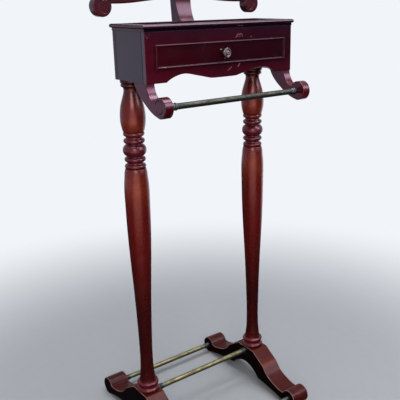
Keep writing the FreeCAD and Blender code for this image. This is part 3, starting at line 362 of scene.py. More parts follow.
@dataclass(frozen=True)
class Scratch:
    """A short straight scratch or chip on an upright board that faces the front.

    Its ends are given across and up.  Its depth says how bare it is, up to 1.
    """

    start: Span
    end: Span
    width: float
    depth: float = 1.0

    CORE = 0.35

    def mask(self, recipe: Recipe) -> Field:
        """Where it lies.

        Args:
            recipe: the material that it is in.

        Returns:
            0 off the scratch, up to its depth on it.
        """
        x, _, z = recipe.axes
        run = (self.end[0] - self.start[0]) * MM
        rise = (self.end[1] - self.start[1]) * MM
        across = x - self.start[0] * MM
        up = z - self.start[1] * MM
        share = ((across * run + up * rise) / (run * run + rise * rise)).clear_of(0.0, 1.0)
        gap = ((across - share * run) ** 2.0 + (up - share * rise) ** 2.0) ** 0.5
        return gap.rising(self.width * MM, self.CORE * self.width * MM) * self.depth


@dataclass(frozen=True)
class LightAndToneBand:
    """A band of colour at one height that fades out over its reach, mostly painted highlight or
    painted shade.

    Without a tone of its own it has the lacquer's glow, a painted highlight colour.
    """

    height: float
    reach: float
    strength: float
    tone: Colour | None = None

    def mask(self, recipe: Recipe) -> Field:
        """0 away from the band, up to its strength in the middle."""
        _, _, z = recipe.axes
        return abs(z - self.height * MM).rising(self.reach * MM, 0.0) * self.strength


@dataclass(frozen=True)
class Lacquer:
    """Red mahogany stain under clear lacquer, with faint grain, pores and rubbed edges, and with
    painted highlight and shade.

    Attributes:
        dark, heart, glow: the stain where it is thickest and where it is clear, and the painted
            highlight colour of bands.
        painted_side_tone: a colour painted on faces to the left and right, if any: painted shade
            on most pieces, a painted reflection on the case front's ends.
        worn, wear: the pale tone of rubbed edges and marks, and how much of it shows; on edges it
            is partly a painted highlight.
        gloss, specular, sheen: the roughness, and the strength and tint of the gleam.
        deepens: the places across the stand between which the stain clears.
        turned_at: how far from the middle the axis of a turned piece stands; its thick crowns are
            painted lighter and its thin necks darker, as painted highlight and shade.
        groove, ease: how far painted shade reaches into a groove, and rubbing from an edge.
        arris: the axis that the flat sides of a piece with rounded edges face.
        joints: the places, front to back, of dark seams.
        waxed_below: the height under which a matt black band of painted shade lies, with no gleam.
    """

    name: str
    grain: Grain
    dark: Colour = (0.020, 0.0010, 0.0030)
    heart: Colour = (0.062, 0.0020, 0.0060)
    glow: Colour = (0.230, 0.036, 0.010)
    painted_side_tone: Colour | None = None
    worn: Colour = (0.42, 0.18, 0.20)
    rubbed_and_lit: float = 0.5
    gloss: float = 0.20
    specular: float = 0.34
    sheen: Colour = (1.0, 0.80, 1.0)
    deepens: Span | None = None
    turned_at: float | None = None
    groove: float = 5.0
    ease: float = 1.3
    arris: Axis | None = None
    joints: tuple[float, ...] = ()
    waxed_below: float | None = None
    light_and_tone_bands: tuple[LightAndToneBand, ...] = ()
    marks: tuple[Scratch, ...] = ()

    PATTERN_SHIFT = (0.37, 0.11, 0.23)
    CLOUD = Mottle(7.0, 2.0)
    STREAK = Mottle(85.0, 5.0, 0.6, 0.2)
    PORES = Mottle(1100.0, 1.0, 0.4, cut=(0.60, 0.72))
    SMUDGE = Mottle(24.0, 4.0, 0.6, cut=(0.45, 0.80))
    RUBBING = Mottle(75.0, 4.0, 0.7, cut=(0.34, 0.62))
    PEEL = Mottle(190.0, 2.0, 0.5)
    # Stain, with painted bands and painted side tones.
    STREAK_SHARE = 0.45
    CLOUD_SHARE = 0.65
    HEART_CUT = (0.30, 0.80)
    TURNED_CUT = (14.0, 26.0)
    TURNED_SHARE = 0.7
    DEEPEST = 0.25
    GLOW_LEAST = 0.4
    GLOW_STREAK = 0.3
    SIDE_TONE_CUT = (0.6, 0.95)
    PORE_STAIN = 0.35
    # Painted shade in creases, rubbed edges that are partly a painted highlight, and a black band
    # of painted shade.
    CREASE_SHADE_CUT = (0.80, 0.30)
    CREASE_SHADE_SHARE = 0.9
    CREASE_SHADE_DEPTH = 0.25
    OPEN_CUT = (0.55, 0.85)
    EDGE_RUB_LEAST = 0.35
    ARRIS_START = (0.15, 0.45)
    ARRIS_END = (0.97, 0.85)
    ARRIS_RUB_LEAST = 0.25
    SEAM_WIDTH = (3.6, 1.6)
    SEAM_SHARE = 0.85
    SEAM_TONE = (0.002, 0.001, 0.002)
    SHADE_BAND_FADE = 0.5
    SHADE_BAND_TONE = (0.003, 0.002, 0.006)
    MARK_SHARE = 0.85
    # What each adds to the roughness.
    SMUDGE_HAZE = 0.09
    PORE_HAZE = 0.05
    WEAR_HAZE = 0.15
    SEAM_HAZE = 0.6
    SHADE_BAND_HAZE = 0.45
    # Heights in the relief, which is a depth in millimetres and its strength.
    PEEL_HEIGHT = 0.5
    PORE_DEPTH = 0.4
    STREAK_HEIGHT = 0.2
    MARK_DEPTH = 1.5
    RELIEF = (0.05, 0.5)

    def make(self) -> bpy.types.Material:
        """Mixes the material.

        Returns:
            The finished material.
        """
        recipe = Recipe(bpy.data.materials.new(self.name))
        along = recipe.stretched(self.grain.value, self.PATTERN_SHIFT)
        streak = recipe.noise(along, self.STREAK)
        pores = recipe.noise(along, self.PORES)
        smudge = recipe.noise(recipe.place, self.SMUDGE)
        peel = recipe.noise(recipe.place, self.PEEL)
        rounded = recipe.rounded(self.ease * MM)
        openness = recipe.openness(self.groove * MM)
        rubbed_and_lit = self._rubbed_and_lit_edges(recipe, rounded, openness)
        # Painted shade: the stain goes darker deep in grooves and creases, where the surface is
        # shut in.
        crease_shade = tuple(self.CREASE_SHADE_DEPTH * part for part in self.dark)
        tone = self._stain(recipe, streak, pores)
        tone = recipe.mix(tone, crease_shade, openness.rising(*self.CREASE_SHADE_CUT) * self.CREASE_SHADE_SHARE)
        # Rubbed edges turn pale, partly as a painted edge highlight.
        tone = recipe.mix(tone, self.worn, rubbed_and_lit * self.rubbed_and_lit)
        haze = self.gloss + smudge * self.SMUDGE_HAZE + pores * self.PORE_HAZE
        haze = haze + rubbed_and_lit * self.WEAR_HAZE
        for seam in self._seams(recipe):
            tone = recipe.mix(tone, self.SEAM_TONE, seam)
            haze = haze + seam * self.SEAM_HAZE
        # Painted shade band: below the set height the colour goes near black, rougher and fully
        # metallic, so that no gleam shows.
        shade_band: Value = 0.0
        if self.waxed_below is not None:
            _, _, z = recipe.axes
            fade = (self.waxed_below + self.SHADE_BAND_FADE, self.waxed_below - self.SHADE_BAND_FADE)
            shade_band = z.rising(*in_metres(fade))
            tone = recipe.mix(tone, self.SHADE_BAND_TONE, shade_band)
            haze = haze + shade_band * self.SHADE_BAND_HAZE
        height = peel * self.PEEL_HEIGHT - pores * self.PORE_DEPTH + streak * self.STREAK_HEIGHT
        for mark in self.marks:
            mask = mark.mask(recipe)
            tone = recipe.mix(tone, self.worn, mask * self.MARK_SHARE)
            height = height - mask * self.MARK_DEPTH
        normal = recipe.bump(height, self.RELIEF, rounded)
        return recipe.finish(base_color=tone, roughness=haze, metallic=shade_band, normal=normal,
                             specular_IOR_level=self.specular, specular_tint=self.sheen)

    def _stain(self, recipe: Recipe, streak: Field, pores: Field) -> Field:
        """Mixes the stain's colour, with its painted bands and painted side tone.

        Args:
            recipe: the material.
            streak: the grain.
            pores: the open pores.

        Returns:
            The colour without wear or marks.
        """
        cloud = recipe.noise(recipe.place, self.CLOUD)
        share = streak * self.STREAK_SHARE + cloud * self.CLOUD_SHARE
        share = share.rising(*self.HEART_CUT)
        # Painted highlight and shade: turned pieces are lighter on their thick crowns and darker
        # on their thin necks.
        if self.turned_at is not None:
            x, y, _ = recipe.axes
            radius = ((abs(x) - self.turned_at * MM) ** 2.0 + y ** 2.0) ** 0.5
            swell = radius.rising(*in_metres(self.TURNED_CUT))
            share = share * (1.0 - self.TURNED_SHARE) + swell * self.TURNED_SHARE
        if self.deepens:
            x, _, _ = recipe.axes
            share = share * x.rising(*in_metres(self.deepens)).lifted(self.DEEPEST)
        tone = recipe.mix(self.dark, self.heart, share)
        # Bands of colour at set heights, most of them painted highlight, reflection or shade.
        for glow in self.light_and_tone_bands:
            band_mottle = cloud.lifted(self.GLOW_LEAST) + self.GLOW_STREAK * streak
            tone = recipe.mix(tone, glow.tone or self.glow, glow.mask(recipe) * band_mottle)
        # Painted side tone: faces to the left and right take a colour of their own, painted shade
        # on most pieces.
        if self.painted_side_tone:
            tone = recipe.mix(tone, self.painted_side_tone, recipe.facing(Axis.ACROSS).rising(*self.SIDE_TONE_CUT))
        return recipe.mix(tone, self.dark, pores * self.PORE_STAIN)

    def _rubbed_and_lit_edges(self, recipe: Recipe, rounded: Field, openness: Field) -> Field:
        """Finds the rubbed edges, whose pale tone is partly a painted edge highlight.

        Args:
            recipe: the material.
            rounded: the surface's direction with its edges eased.
            openness: how open the surface is.

        Returns:
            0 on sound lacquer, up to 1 on the most rubbed edges.
        """
        rub = recipe.noise(recipe.place, self.RUBBING)
        open_edges = recipe.edges(rounded) * openness.rising(*self.OPEN_CUT)
        rubbed_and_lit = open_edges * rub.lifted(self.EDGE_RUB_LEAST)
        if self.arris is None:
            return rubbed_and_lit
        side = recipe.facing(self.arris)
        turn = side.rising(*self.ARRIS_START) * side.rising(*self.ARRIS_END)
        return rubbed_and_lit + turn * rub.lifted(self.ARRIS_RUB_LEAST)

    def _seams(self, recipe: Recipe) -> list[Field]:
        """For each dark seam, 0 off it, up to its strength on it."""
        gaps = [abs(recipe.axes[Axis.DEEP.value] - joint * MM) for joint in self.joints]
        return [gap.rising(*in_metres(self.SEAM_WIDTH)) * self.SEAM_SHARE for gap in gaps]


@dataclass(frozen=True)
class PlainWood:
    """Unlacquered wood: drawer sides, runners, blocks and dowels."""

    name: str
    grain: Grain
    pale: Colour = (0.36, 0.20, 0.105)
    deep: Colour = (0.20, 0.095, 0.045)
    roughness: float = 0.58

    RING = Mottle(55.0, 4.0, 0.6, 0.5)
    FIBRE = Mottle(900.0, 2.0, 0.5)
    RING_SHARE = 0.8
    FIBRE_SHARE = 0.3
    PALE_CUT = (0.34, 0.74)
    FIBRE_HAZE = 0.14
    FIBRE_HEIGHT = 0.6
    RING_HEIGHT = 0.4
    RELIEF = (0.12, 0.7)

    def make(self) -> bpy.types.Material:
        """Mixes the material.

        Returns:
            The finished material.
        """
        recipe = Recipe(bpy.data.materials.new(self.name))
        along = recipe.stretched(self.grain.value)
        ring = recipe.noise(along, self.RING)
        fibre = recipe.noise(along, self.FIBRE)
        share = (ring * self.RING_SHARE + fibre * self.FIBRE_SHARE).rising(*self.PALE_CUT)
        height = fibre * self.FIBRE_HEIGHT + ring * self.RING_HEIGHT
        return recipe.finish(base_color=recipe.mix(self.deep, self.pale, share),
                             roughness=self.roughness + fibre * self.FIBRE_HAZE,
                             normal=recipe.bump(height, self.RELIEF))


@dataclass(frozen=True)
class Metal:
    """Brass, pewter or steel, bright where it is rubbed and dull where it is not.

    With a knob_shade_level, what lies inside a circle round that height stays dull as painted
    shade, and only what lies outside is rubbed.
    """

    name: str
    bright: Colour
    dull: Colour
    rubbed: float = 0.24
    tarnished: float = 0.52
    drawn: Triple = (1.0, 1.0, 1.0)
    patches_per_metre: float = 45.0
    knob_shade_level: float | None = None
    knob_shade_radii: Span = (9.5, 11.5)

    SPECK = Mottle(900.0, 2.0, 0.6)
    LINE = Mottle(1500.0, 2.0, 0.5)
    CLOUD_SHARE = 0.8
    SPECK_SHARE = 0.3
    TARNISH_CUT = (0.42, 0.72)
    SPOT_CUT = (0.66, 0.76)
    SPOT_SHARE = 0.6
    LINE_HAZE = 0.06
    TARNISH_CRUST = 0.25
    LINE_HEIGHT = 0.6
    SPECK_HEIGHT = 0.4
    RELIEF = (0.03, 0.5)

    def make(self) -> bpy.types.Material:
        """Mixes the material.

        Returns:
            The finished material.
        """
        recipe = Recipe(bpy.data.materials.new(self.name))
        cloud = recipe.noise(recipe.place, Mottle(self.patches_per_metre, 5.0, 0.65))
        speck = recipe.noise(recipe.place, self.SPECK)
        line = recipe.noise(recipe.stretched(self.drawn), self.LINE)
        tarnish = cloud * self.CLOUD_SHARE + speck * self.SPECK_SHARE
        tarnish = tarnish.rising(*self.TARNISH_CUT)
        if self.knob_shade_level is not None:
            x, _, z = recipe.axes
            radius = (x ** 2.0 + (z - self.knob_shade_level * MM) ** 2.0) ** 0.5
            tarnish = 1.0 - (1.0 - tarnish) * radius.rising(*in_metres(self.knob_shade_radii))
        tone = recipe.mix(self.bright, self.dull, tarnish)
        tone = recipe.mix(tone, self.dull, speck.rising(*self.SPOT_CUT) * self.SPOT_SHARE)
        haze = self.rubbed + tarnish * (self.tarnished - self.rubbed) + line * self.LINE_HAZE
        height = line * self.LINE_HEIGHT + speck * self.SPECK_HEIGHT
        return recipe.finish(base_color=tone, roughness=haze,
                             metallic=1.0 - tarnish * self.TARNISH_CRUST,
                             normal=recipe.bump(height, self.RELIEF))


@dataclass(frozen=True)
class Nylon:
    """Moulded plastic, slightly grained and scuffed where it meets the floor."""

    name: str
    colour: Colour = (0.018, 0.016, 0.015)
    scuff: Colour = (0.11, 0.10, 0.09)
    roughness: float = 0.48

    GRAIN = Mottle(1200.0, 2.0, 0.5)
    CLOUD = Mottle(160.0, 4.0, 0.6, cut=(0.40, 0.62))
    SCUFF_HEIGHT = 1.2
    SCUFF_HAZE = 0.3
    GRAIN_HAZE = 0.1
    RELIEF = (0.04, 0.6)

    def make(self) -> bpy.types.Material:
        """Mixes the material.

        Returns:
            The finished material.
        """
        recipe = Recipe(bpy.data.materials.new(self.name))
        grain = recipe.noise(recipe.place, self.GRAIN)
        _, _, z = recipe.axes
        worn = z.rising(self.SCUFF_HEIGHT * MM, 0.0) * recipe.noise(recipe.place, self.CLOUD)
        haze = self.roughness + worn * self.SCUFF_HAZE + grain * self.GRAIN_HAZE
        return recipe.finish(base_color=recipe.mix(self.colour, self.scuff, worn), roughness=haze,
                             normal=recipe.bump(grain, self.RELIEF))


# ---- shaping helpers ----

def turned(profile: list[Span], steps: int) -> bmesh.types.BMesh:
    """Turns a profile about the Z axis.

    Args:
        profile: radius and height of each point in millimetres, from axis to axis.
        steps: how many steps make the full turn.

    Returns:
        The closed shape.
    """
    mesh = bmesh.new()
    points = [mesh.verts.new((radius, 0.0, height)) for radius, height in profile]
    lines = [mesh.edges.new(pair) for pair in zip(points, points[1:])]
    bmesh.ops.spin(mesh, geom=points + lines, cent=(0.0, 0.0, 0.0), axis=(0.0, 0.0, 1.0),
                   angle=2.0 * math.pi, steps=steps, use_merge=True, use_duplicate=False)
    bmesh.ops.remove_doubles(mesh, verts=mesh.verts, dist=WELD_MM)
    return mesh


def new_piece(name: str, mesh: bmesh.types.BMesh, body: str,
              material: bpy.types.Material) -> bpy.types.Object:
    """Makes an object of a finished mesh and lets it ride on a body.

    Args:
        name: the piece's name.
        mesh: its shape, already in its place.
        body: the body that it moves with.
        material: its finish.

    Returns:
        The new object.
    """
    bmesh.ops.recalc_face_normals(mesh, faces=mesh.faces)
    data = bpy.data.meshes.new(name)
    mesh.to_mesh(data)
    mesh.free()
    for polygon in data.polygons:
        polygon.use_smooth = True
    data.materials.append(material)
    piece = bpy.data.objects.new(name, data)
    bpy.context.scene.collection.objects.link(piece)
    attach(piece, body)
    return piece


# ---- sub-assemblies ----

Finishes = dict[str, bpy.types.Material]


@dataclass
class SubAssembly:
    """A part of the stand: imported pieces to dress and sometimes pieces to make."""

    frame: dict

    def finishes(self) -> Finishes:
        """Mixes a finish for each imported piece, by the piece's name."""
        raise NotImplementedError

    def dress(self) -> Finishes:
        """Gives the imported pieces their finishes.

        Returns:
            The finish of each piece that was dressed.
        """
        finishes = self.finishes()
        for node, material in finishes.items():
            piece = self.frame["nodes"][node]
            for slot in piece.material_slots:
                slot.material = material
            if not piece.material_slots:
                piece.data.materials.append(material)
        return finishes

    def build(self) -> Finishes:
        """Makes new pieces and returns the finish of each.  Most parts have none."""
        return {}


@dataclass
class Feet(SubAssembly):
    """The two sled feet and the glides under them."""

    # Painted reflection on the steep bend of each foot, and painted highlight on its top flats.
    knee_reflection: LightAndToneBand = LightAndToneBand(66.0, 12.0, 0.75)
    top: LightAndToneBand = LightAndToneBand(92.0, 16.0, 0.34)

    def finishes(self) -> Finishes:
        """Lacquers the feet and leaves the glides as moulded.

        Returns:
            A finish for each piece.
        """
        # The near-black side colour is painted shade on the sides of the feet.
        wood = Lacquer(
            "foot_lacquer", Grain.DEEP, dark=(0.026, 0.0025, 0.002), heart=(0.085, 0.008, 0.006),
            glow=(0.165, 0.022, 0.002), painted_side_tone=(0.004, 0.0005, 0.0008), worn=(0.62, 0.39, 0.32),
            rubbed_and_lit=0.62, gloss=0.28, specular=0.15, sheen=(1.0, 0.86, 0.90), arris=Axis.ACROSS,
            light_and_tone_bands=(self.knee_reflection, self.top),
        ).make()
        glide = Nylon("glide_nylon").make()
        return {"left_foot": wood, "right_foot": wood, "foot_glides": glide}


@dataclass
class Posts(SubAssembly):
    """The turned posts and the fastenings hidden in their ends."""

    # Painted warm highlights low on the turning and high on the shaft, painted shade on the top
    # rings under the case, and the crimson highlight tint on the rings and near the foot.
    vase_highlight: LightAndToneBand = LightAndToneBand(712.0, 34.0, 0.6)
    shoulder_highlight: LightAndToneBand = LightAndToneBand(585.0, 55.0, 0.40)
    collar_shade: LightAndToneBand = LightAndToneBand(808.0, 24.0, 1.0, (0.024, 0.001, 0.008))
    rings: LightAndToneBand = LightAndToneBand(668.0, 66.0, 0.85, RING_HIGHLIGHT_TINT)
    base: LightAndToneBand = LightAndToneBand(105.0, 24.0, 0.7, RING_HIGHLIGHT_TINT)

    def finishes(self) -> Finishes:
        """Lacquers the posts and plates the fastenings.

        Returns:
            A finish for each piece.
        """
        low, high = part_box("right_post")
        wood = Lacquer(
            "post_lacquer", Grain.UPRIGHT, dark=(0.022, 0.0006, 0.0004),
            heart=(0.150, 0.004, 0.002), glow=(0.30, 0.045, 0.008), rubbed_and_lit=0.20, gloss=0.27,
            specular=0.72, sheen=(1.0, 0.60, 0.60), turned_at=(low[0] + high[0]) / 2.0 / MM,
            groove=9.0, light_and_tone_bands=(self.vase_highlight, self.shoulder_highlight, self.collar_shade, self.rings, self.base),
        ).make()
        zinc = Metal("zinc_plate", (0.62, 0.62, 0.64), (0.34, 0.34, 0.33)).make()
        brass = Metal("insert_brass", (0.66, 0.50, 0.22), (0.34, 0.26, 0.13)).make()
        return {
            "left_post": wood, "right_post": wood, "post_bolts": zinc, "post_washers": zinc,
            "post_screws": zinc, "hanger_screws": zinc, "knob_screw": zinc, "post_inserts": brass,
        }


@dataclass
class Rails(SubAssembly):
    """The brass shoe rails and the trouser bar, with their turned ends."""

    drawn_across: Triple = (0.02, 1.0, 1.0)
    rail_names: tuple[str, ...] = ("back", "middle", "front")

    def finishes(self) -> Finishes:
        """Gives the tubes and their ends their brass.

        Returns:
            A finish for each piece.
        """
        rail = Metal("rail_brass", (0.215, 0.195, 0.098), (0.088, 0.085, 0.050), rubbed=0.40,
                     tarnished=0.60, drawn=self.drawn_across).make()
        bar = Metal("bar_brass", (0.058, 0.060, 0.048), (0.020, 0.025, 0.023), rubbed=0.36,
                    tarnished=0.60, drawn=self.drawn_across).make()
        end = Metal("end_brass", (0.085, 0.100, 0.100), (0.014, 0.022, 0.026),
                    patches_per_metre=260.0).make()
        finishes = {name + "_shoe_rail": rail for name in self.rail_names}
        finishes |= {name + "_rail_ends": end for name in self.rail_names}
        return finishes | {"trouser_bar": bar, "trouser_bar_ends": end}


@dataclass
class Case(SubAssembly):
    """The case, its rim, and the boards inside it."""

    # The height under which the rim is painted with a black band of shade.
    black_band_height: float = 912.4
    front_clears: Span = (190.0, -210.0)
    # A dark band of painted shade under the rim's overhang.
    shade_under_rim: LightAndToneBand = LightAndToneBand(908.0, 30.0, 0.75, (0.030, 0.003, 0.016))
    apron: LightAndToneBand = LightAndToneBand(818.0, 26.0, 0.42, (0.120, 0.008, 0.022))
    front_marks: tuple[Scratch, ...] = (
        Scratch((-182.2, 901.4), (-177.6, 895.4), 0.9, 0.30),
        Scratch((-177.6, 895.4), (-171.9, 906.4), 0.8, 0.20),
        Scratch((31.5, 889.0), (36.5, 894.6), 1.3, 0.9),
        Scratch((36.5, 894.6), (46.5, 894.6), 1.4, 0.8),
        Scratch((46.5, 894.6), (49.0, 889.4), 1.1, 0.5),
        Scratch((36.0, 889.6), (43.5, 890.6), 1.0, 0.45),
        Scratch((70.6, 888.4), (71.4, 888.8), 1.8, 0.7),
        Scratch((36.4, 830.2), (39.8, 835.4), 2.0, 0.9),
        Scratch((8.4, 823.9), (13.0, 826.0), 1.1, 0.6),
        Scratch((13.0, 826.0), (18.9, 830.6), 1.5, 0.8),
    )
    rim_marks: tuple[Scratch, ...] = (
        Scratch((36.6, 911.2), (40.0, 911.3), 1.1, 0.6),
        Scratch((44.6, 911.5), (47.7, 911.3), 1.2, 0.6),
    )

    def finishes(self) -> Finishes:
        """Lacquers what shows and leaves the inner boards plain.

        Returns:
            A finish for each piece.
        """
        finishes = {
            node: Lacquer(node + "_lacquer", grain, **details).make()
            for node, (grain, details) in self._lacquered_boards().items()
        }
        across = PlainWood("inner_board", Grain.ACROSS).make()
        deep = PlainWood("inner_strip", Grain.DEEP).make()
        birch = PlainWood("birch_dowel", Grain.UPRIGHT, pale=(0.62, 0.45, 0.27),
                          deep=(0.42, 0.28, 0.15)).make()
        finishes |= {"case_bottom": across, "drawer_stop": across}
        for side in ("left", "right"):
            finishes |= {side + "_post_cleat": deep, side + "_drawer_runner": deep}
        return finishes | {kind + "_dowels": birch for kind in ("case", "bracket", "hanger")}

    def _lacquered_boards(self) -> dict[str, tuple[Grain, dict]]:
        """Chooses the grain and the lacquer of each board that shows.

        Returns:
            The grain and the details of the lacquer, by the board's name.
        """
        side_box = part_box("left_case_side")
        slate = {
            "dark": (0.012, 0.006, 0.012), "heart": (0.026, 0.008, 0.016), "specular": 0.50,
            "sheen": (0.86, 0.86, 1.0), "joints": (side_box[0][1] / MM, side_box[1][1] / MM),
        }
        # The front's pale side colour is a painted reflection on the board's ends.
        front = {
            "dark": (0.020, 0.0005, 0.006), "heart": (0.100, 0.0030, 0.013),
            "painted_side_tone": (0.110, 0.078, 0.115), "specular": 0.24, "sheen": (1.0, 0.7, 0.85),
            "deepens": self.front_clears, "light_and_tone_bands": (self.shade_under_rim, self.apron),
            "marks": self.front_marks,
        }
        rim = {
            "dark": (0.018, 0.001, 0.006), "heart": (0.044, 0.003, 0.010), "specular": 0.50,
            "sheen": (1.0, 0.84, 0.98), "groove": 9.0, "ease": 0.5,
        }
        # Front and back rim pieces get a black band of painted shade under the nose.
        shade_band = rim | {"waxed_below": self.black_band_height}
        inside = {"dark": (0.04, 0.004, 0.004), "heart": (0.10, 0.010, 0.008)}
        return {
            "case_front": (Grain.ACROSS, front),
            "case_back": (Grain.ACROSS, {"painted_side_tone": (0.034, 0.020, 0.034)}),
            "left_case_side": (Grain.DEEP, slate), "right_case_side": (Grain.DEEP, slate),
            "rim_front": (Grain.ACROSS, shade_band | {"marks": self.rim_marks}),
            "rim_back": (Grain.ACROSS, shade_band),
            "rim_left": (Grain.DEEP, rim), "rim_right": (Grain.DEEP, rim),
            "tray_floor": (Grain.ACROSS, inside),
            "left_tray_divider": (Grain.DEEP, inside), "right_tray_divider": (Grain.DEEP, inside),
        }


@dataclass
class Drawer(SubAssembly):
    """The drawer, and its knob with the rosette behind it."""

    front_clears: Span = (150.0, -200.0)
    front_marks: tuple[Scratch, ...] = (
        Scratch((124.2, 883.6), (125.6, 884.0), 1.5, 0.9),
        Scratch((-149.0, 842.0), (-141.0, 841.6), 1.2, 0.5),
    )
    steps: int = 72
    knob_radius: float = 9.75
    base_radius: float = 5.5
    stem_radius: float = 4.0
    button_radius: float = 5.3
    button_rise: float = 2.0
    flutes: int = 12
    flute_depth: float = 0.55
    flutes_from: float = 1.6
    flutes_margin: float = 0.5
    waist_radius: float = 6.6
    lobe_reach: float = 14.0
    lobe_angles: tuple[float, ...] = (30.0, 150.0, 270.0)
    lobe_half_angle: float = 42.0
    lobe_sharpness: float = 1.6
    plate_thickness: float = 0.8
    lip_width: float = 0.7
    lip_height: float = 0.5
    dish_width: float = 0.6
    dish_depth: float = 0.35
    bead_radius: float = 1.35
    bead_inset: float = 2.4
    bead_height: float = 0.9
    bead_faces: tuple[int, int] = (20, 12)

    def finishes(self) -> Finishes:
        """Lacquers the front, and leaves the box plain.

        Returns:
            A finish for each piece.
        """
        # Strong rubbing on the bead edges; their pale lines are partly a painted highlight.
        front = Lacquer(
            "drawer_lacquer", Grain.ACROSS, dark=(0.016, 0.0004, 0.005),
            heart=(0.062, 0.0014, 0.007), rubbed_and_lit=0.85, specular=0.24, sheen=(1.0, 0.68, 0.78),
            deepens=self.front_clears, marks=self.front_marks,
        ).make()
        across = PlainWood("drawer_board", Grain.ACROSS).make()
        deep = PlainWood("drawer_side_board", Grain.DEEP).make()
        return {
            "drawer_front": front, "drawer_back": across, "drawer_bottom": across,
            "left_drawer_side": deep, "right_drawer_side": deep,
        }

    def build(self) -> Finishes:
        """Makes the knob and its rosette, and puts them in place of the plain ones.

        Returns:
            The finish of each.
        """
        _, plate_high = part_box("knob_backplate")
        knob_low, knob_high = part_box("knob")
        level = (knob_low[2] + knob_high[2]) / 2.0
        pewter = Metal("knob_pewter", (0.25, 0.205, 0.205), (0.040, 0.030, 0.034), rubbed=0.34,
                       patches_per_metre=300.0).make()
        # Near black, partly as painted shadow of the knob, and kept dull round the knob's stem as
        # painted shade.
        dark = Metal("rosette_pewter", (0.22, 0.18, 0.185), (0.003, 0.0025, 0.003), rubbed=0.34,
                     patches_per_metre=260.0, knob_shade_level=level / MM).make()
        plate = self._point_forward(self._rosette(), Vector((0.0, plate_high[1], level)))
        face = self._point_forward(self._knob((knob_high[1] - knob_low[1]) / MM),
                                   Vector((0.0, knob_high[1], level)))
        rosette = new_piece("knob_rosette", plate, "drawer", dark)
        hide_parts("knob_backplate")
        knob = new_piece("turned_knob", face, "drawer", pewter)
        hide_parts("knob")
        return {"knob_rosette": dark, "turned_knob": pewter}

    @staticmethod
    def _point_forward(mesh: bmesh.types.BMesh, seat: Vector) -> bmesh.types.BMesh:
        """Turns a shape made about +Z in millimetres so that it points out of the front.

        Args:
            mesh: the shape.
            seat: where its back sits.

        Returns:
            The same mesh, in metres and in place.
        """
        turn = Matrix.Rotation(math.pi / 2.0, 4, "X")
        place = Matrix.Translation(seat) @ turn @ Matrix.Scale(MM, 4)
        bmesh.ops.transform(mesh, matrix=place, verts=mesh.verts)
        return mesh

    def _knob(self, height: float) -> bmesh.types.BMesh:
        """Turns the knob: a flared foot, a beaded stem and a ringed face with a fluted button.

        Args:
            height: from its back to the top of the button.

        Returns:
            The knob about +Z, in millimetres.
        """
        base, stem = self.base_radius, self.stem_radius
        rim, button = self.knob_radius, self.button_radius
        face = height - self.button_rise
        foot = [(0.0, 0.0), (base, 0.0), (base, 0.7), (base - 0.7, 1.0), (stem + 0.3, 1.9)]
        bead = [(stem, 2.6), (stem + 0.5, 3.0), (stem + 0.5, 3.5), (stem, 3.9)]
        back = [(stem + 0.6, face - 4.4), (rim - 2.4, face - 3.6), (rim - 0.5, face - 2.8)]
        edge = [(rim, face - 1.9), (rim - 0.2, face - 1.0), (rim - 0.9, face - 0.1)]
        rings = [
            (rim - 1.7, face), (rim - 2.3, face - 0.6), (rim - 2.7, face - 2.0),
            (rim - 3.3, face - 2.2), (rim - 3.6, face - 1.5), (rim - 3.9, face - 1.4),
            (rim - 4.2, face - 1.9),
        ]
        dome = [
            (button - 0.6, face - 1.9), (button - 0.8, face), (button - 1.6, face + 1.1),
            (button - 2.6, face + 1.7), (1.3, height), (0.9, height - 0.4), (0.0, height - 0.2),
        ]
        mesh = turned(foot + bead + back + edge + rings + dome, self.steps)
        lowest, highest = face - self.flutes_margin, height - self.flutes_margin
        fluted = [
            vert for vert in mesh.verts
            if lowest < vert.co.z < highest and self.flutes_from < vert.co.xy.length < button
        ]
        for vert in fluted:
            angle = math.atan2(vert.co.y, vert.co.x)
            notch = max(0.0, math.cos(self.flutes * angle)) ** 2
            bmesh.ops.translate(mesh, vec=(0.0, 0.0, -self.flute_depth * notch), verts=[vert])
        return mesh

    def _rosette(self) -> bmesh.types.BMesh:
        """Draws the three-lobed plate, with a raised lip and a bead at each tip.

        Returns:
            The rosette about +Z, in millimetres.
        """
        mesh = bmesh.new()
        bmesh.ops.create_circle(mesh, cap_ends=True, radius=self.waist_radius, segments=self.steps)
        for vert in list(mesh.verts):
            angle = math.degrees(math.atan2(vert.co.y, vert.co.x))
            away = min(abs((angle - lobe + 180.0) % 360.0 - 180.0) for lobe in self.lobe_angles)
            near = max(0.0, 1.0 - away / self.lobe_half_angle) ** self.lobe_sharpness
            push = vert.co.normalized() * (self.lobe_reach - self.waist_radius) * near
            bmesh.ops.translate(mesh, vec=push, verts=[vert])
        plate = bmesh.ops.extrude_face_region(mesh, geom=list(mesh.faces))
        raised = [part for part in plate["geom"] if isinstance(part, bmesh.types.BMVert)]
        bmesh.ops.translate(mesh, vec=(0.0, 0.0, self.plate_thickness), verts=raised)
        top = [part for part in plate["geom"] if isinstance(part, bmesh.types.BMFace)]
        bmesh.ops.inset_region(mesh, faces=top, thickness=self.lip_width, depth=self.lip_height)
        bmesh.ops.inset_region(mesh, faces=top, thickness=self.dish_width, depth=-self.dish_depth)
        out = Matrix.Translation((self.lobe_reach - self.bead_inset, 0.0, self.bead_height))
        for lobe in self.lobe_angles:
            tip = Matrix.Rotation(math.radians(lobe), 4, "Z") @ out
            bmesh.ops.create_uvsphere(mesh, u_segments=self.bead_faces[0],
                                      v_segments=self.bead_faces[1], radius=self.bead_radius,
                                      matrix=tip)
        return mesh


